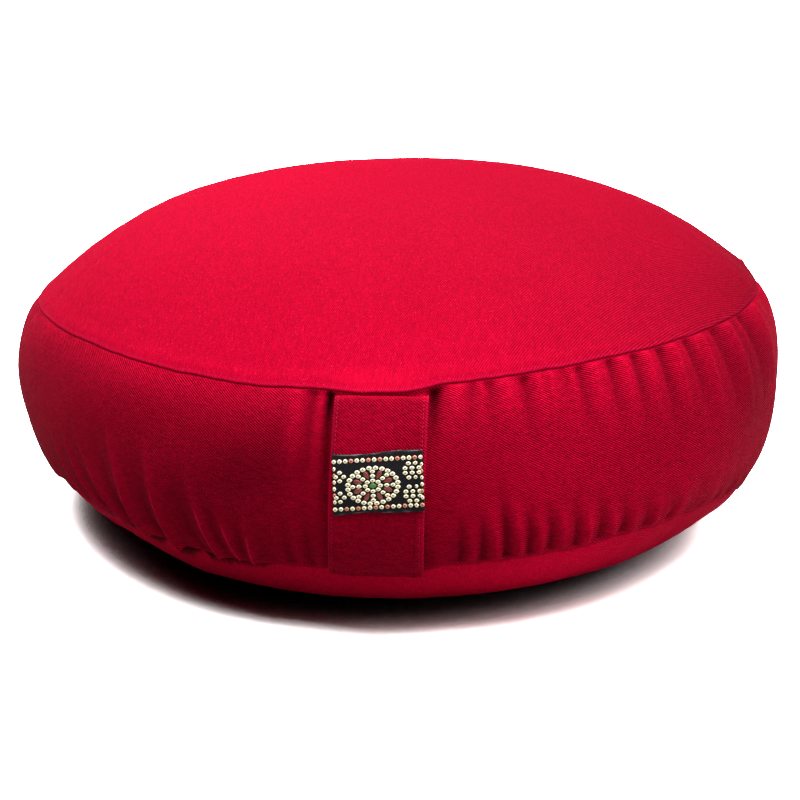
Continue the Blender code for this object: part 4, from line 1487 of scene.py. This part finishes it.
class CUSHION_OT_thread_ends(bpy.types.Operator):
    """Leave the small trimmed thread ends in the upper seam"""

    bl_idname = "cushion.thread_ends"
    bl_label = "Thread ends"

    def execute(self, context):
        sizes, colours = context.scene.cushion_sizes, context.scene.cushion_colours
        part = np.linspace(0.0, 1.0, THREAD_POINTS)
        turn = np.linspace(0.0, TAU, THREAD_ROUND, endpoint=False)
        station = np.array([1.0 - THREAD_FROM_SEAM / CROWN_LENGTH])
        points, faces = [], []
        for number, (azimuth_degrees, length, lean, curl) in enumerate(THREAD_ENDS):
            azimuth = np.radians(azimuth_degrees)
            root, _ = cover_surface(np.array([azimuth]), station, sizes)
            out = unit(np.array([np.sin(azimuth), -np.cos(azimuth), THREAD_RISE]))
            side = np.array([np.cos(azimuth), np.sin(azimuth), 0.0])
            bend = np.radians(lean) + curl * part
            step = np.stack([np.cos(bend), np.sin(bend)], axis=-1) * length * MM / THREAD_POINTS
            run = np.cumsum(step, axis=0)
            line = root[0] + run[:, :1] * side + run[:, 1:] * out
            thin = THREAD_RADIUS * (1.0 - THREAD_THINNING * part)
            ring = np.cos(turn)[:, None] * side + np.sin(turn)[:, None] * np.array([0.0, 0.0, 1.0])
            tube = line[:, None, :] + thin[:, None, None] * ring
            points.append(tube.reshape(-1, 3))
            start = number * THREAD_POINTS * THREAD_ROUND
            faces += (grid_faces(THREAD_POINTS, THREAD_ROUND, True) + start).tolist()
            first = np.arange(start, start + THREAD_ROUND)
            faces += [first.tolist(), (first + (THREAD_POINTS - 1) * THREAD_ROUND)[::-1].tolist()]
        ends = build_mesh("seam_thread_ends", np.concatenate(points), faces)
        finish_piece(ends, thread_material("seam_thread", colours.cloth_light))
        return {"FINISHED"}


# ---------------- the studio


# Columns: name, azimuth and elevation in degrees, strength, and spread in degrees.
LIGHTS = (
    ("overhead_light", 170.0, 82.0, 10.2, 72.0),
    ("back_left_light", -130.0, 50.0, 1.3, 50.0),
    ("right_light", 90.0, 48.0, 2.0, 50.0),
    ("low_right_light", 80.0, 20.0, 0.8, 40.0),
)


class CUSHION_OT_studio(bpy.types.Operator):
    """Set the pale floor, the soft lights and the camera"""

    bl_idname = "cushion.studio"
    bl_label = "Studio"

    def execute(self, context):
        scene = context.scene
        corners = [(FLOOR_HALF * x, FLOOR_HALF * y, 0) for x, y in ((-1, -1), (1, -1), (1, 1), (-1, 1))]
        floor = build_mesh("studio_floor", corners, [(0, 1, 2, 3)])
        floor.data.materials.append(floor_material(scene.cushion_colours.floor))
        for light in LIGHTS:
            self.add_light(scene, *light)
        self.set_world(scene)
        self.set_camera(scene)
        scene.view_settings.view_transform = "Standard"
        return {"FINISHED"}

    def add_light(self, scene, name, azimuth, elevation, strength, spread):
        """A wide, soft light from far away, which lights the floor and the cushion evenly."""
        lamp = bpy.data.lights.new(name, "SUN")
        lamp.energy, lamp.angle = strength, np.radians(spread)
        light = bpy.data.objects.new(name, lamp)
        place_facing(scene, light, (0, 0, 0), azimuth, elevation, LIGHT_DISTANCE)

    def set_world(self, scene):
        """White surroundings: bright where they are seen, and dimmer as a light."""
        world = bpy.data.worlds.new("studio_world")
        world.use_nodes = True
        shade = Shade(world.node_tree)
        background = world.node_tree.nodes["Background"]
        background.inputs["Color"].default_value = (1.0, 1.0, 1.0, 1.0)
        seen = shade.node("ShaderNodeLightPath").outputs["Is Camera Ray"]
        shade.feed(background.inputs["Strength"], shade.remap(seen, 0.0, 1.0, WORLD_LIGHT, WORLD_SEEN))
        scene.world = world

    def set_camera(self, scene):
        """The reference view: aimed at a point above the floor, with no shift and no depth of field."""
        lens = bpy.data.cameras.new("camera")
        lens.sensor_width, lens.lens = CAMERA_SENSOR, CAMERA_LENS
        lens.clip_start, lens.clip_end = CAMERA_CLIP
        camera = bpy.data.objects.new("camera", lens)
        place_facing(scene, camera, CAMERA_TARGET, CAMERA_AZIMUTH, CAMERA_ELEVATION, CAMERA_DISTANCE)
        scene.camera = camera


def place_facing(scene, made, target, azimuth, elevation, distance):
    """Put a light or the camera at an azimuth and elevation, in degrees, so that it faces its target."""
    turn, rise = np.radians(azimuth), np.radians(elevation)
    back = Vector((np.sin(turn) * np.cos(rise), -np.cos(turn) * np.cos(rise), np.sin(rise)))
    made.location = Vector(target) + back * distance
    made.rotation_euler = back.to_track_quat("Z", "Y").to_euler()
    scene.collection.objects.link(made)


def floor_material(colour):
    """Pale matt floor: bright where seen, dimmer where it lights the cushion, a painted shadow in its nook.
    """
    material, shade, shader = start_material("pale_floor")
    seen = shade.node("ShaderNodeLightPath").outputs["Is Camera Ray"]
    # The painted contact shadow, from how open the floor is near the cover.
    nook = shade.node("ShaderNodeAmbientOcclusion", samples=16)
    shade.give(nook, Distance=NOOK_REACH, Normal=shade.vector(*NOOK_LEAN))
    openness = shade.math("POWER", shade.remap(nook.outputs["AO"], NOOK_DARK, NOOK_LIGHT), NOOK_POWER)
    bright = shade.mix(openness, (0.0, 0.0, 0.0, 1.0), rgba(colour, FLOOR_SEEN))
    tone = shade.mix(seen, rgba(colour, FLOOR_LIGHT), bright)
    shade.give(shader, Base_Color=tone, Roughness=0.7, Specular_IOR_Level=0.1)
    return material


# ---------------- sidebar and running


class CUSHION_PT_panel(bpy.types.Panel):
    """Sidebar panel with one button for each piece"""

    bl_label = "Round cushion"
    bl_idname = "CUSHION_PT_panel"
    bl_space_type = "VIEW_3D"
    bl_region_type = "UI"
    bl_category = "Cushion"

    def draw(self, context):
        for group in (context.scene.cushion_sizes, context.scene.cushion_colours):
            for name in group.__annotations__:
                self.layout.prop(group, name)
        for operator in OPERATORS:
            self.layout.operator(operator.bl_idname)


OPERATORS = (
    CUSHION_OT_cover, CUSHION_OT_strap, CUSHION_OT_ribbon, CUSHION_OT_thread_ends, CUSHION_OT_studio)
CLASSES = (CushionSizes, CushionColours) + OPERATORS + (CUSHION_PT_panel,)


def register():
    for item in CLASSES:
        bpy.utils.register_class(item)
    bpy.types.Scene.cushion_sizes = bpy.props.PointerProperty(type=CushionSizes)
    bpy.types.Scene.cushion_colours = bpy.props.PointerProperty(type=CushionColours)


def unregister():
    del bpy.types.Scene.cushion_colours
    del bpy.types.Scene.cushion_sizes
    for item in reversed(CLASSES):
        bpy.utils.unregister_class(item)


def main():
    register()
    bpy.ops.cushion.cover()
    bpy.ops.cushion.strap()
    bpy.ops.cushion.ribbon()
    bpy.ops.cushion.thread_ends()
    bpy.ops.cushion.studio()


if __name__ == "__main__":
    main()
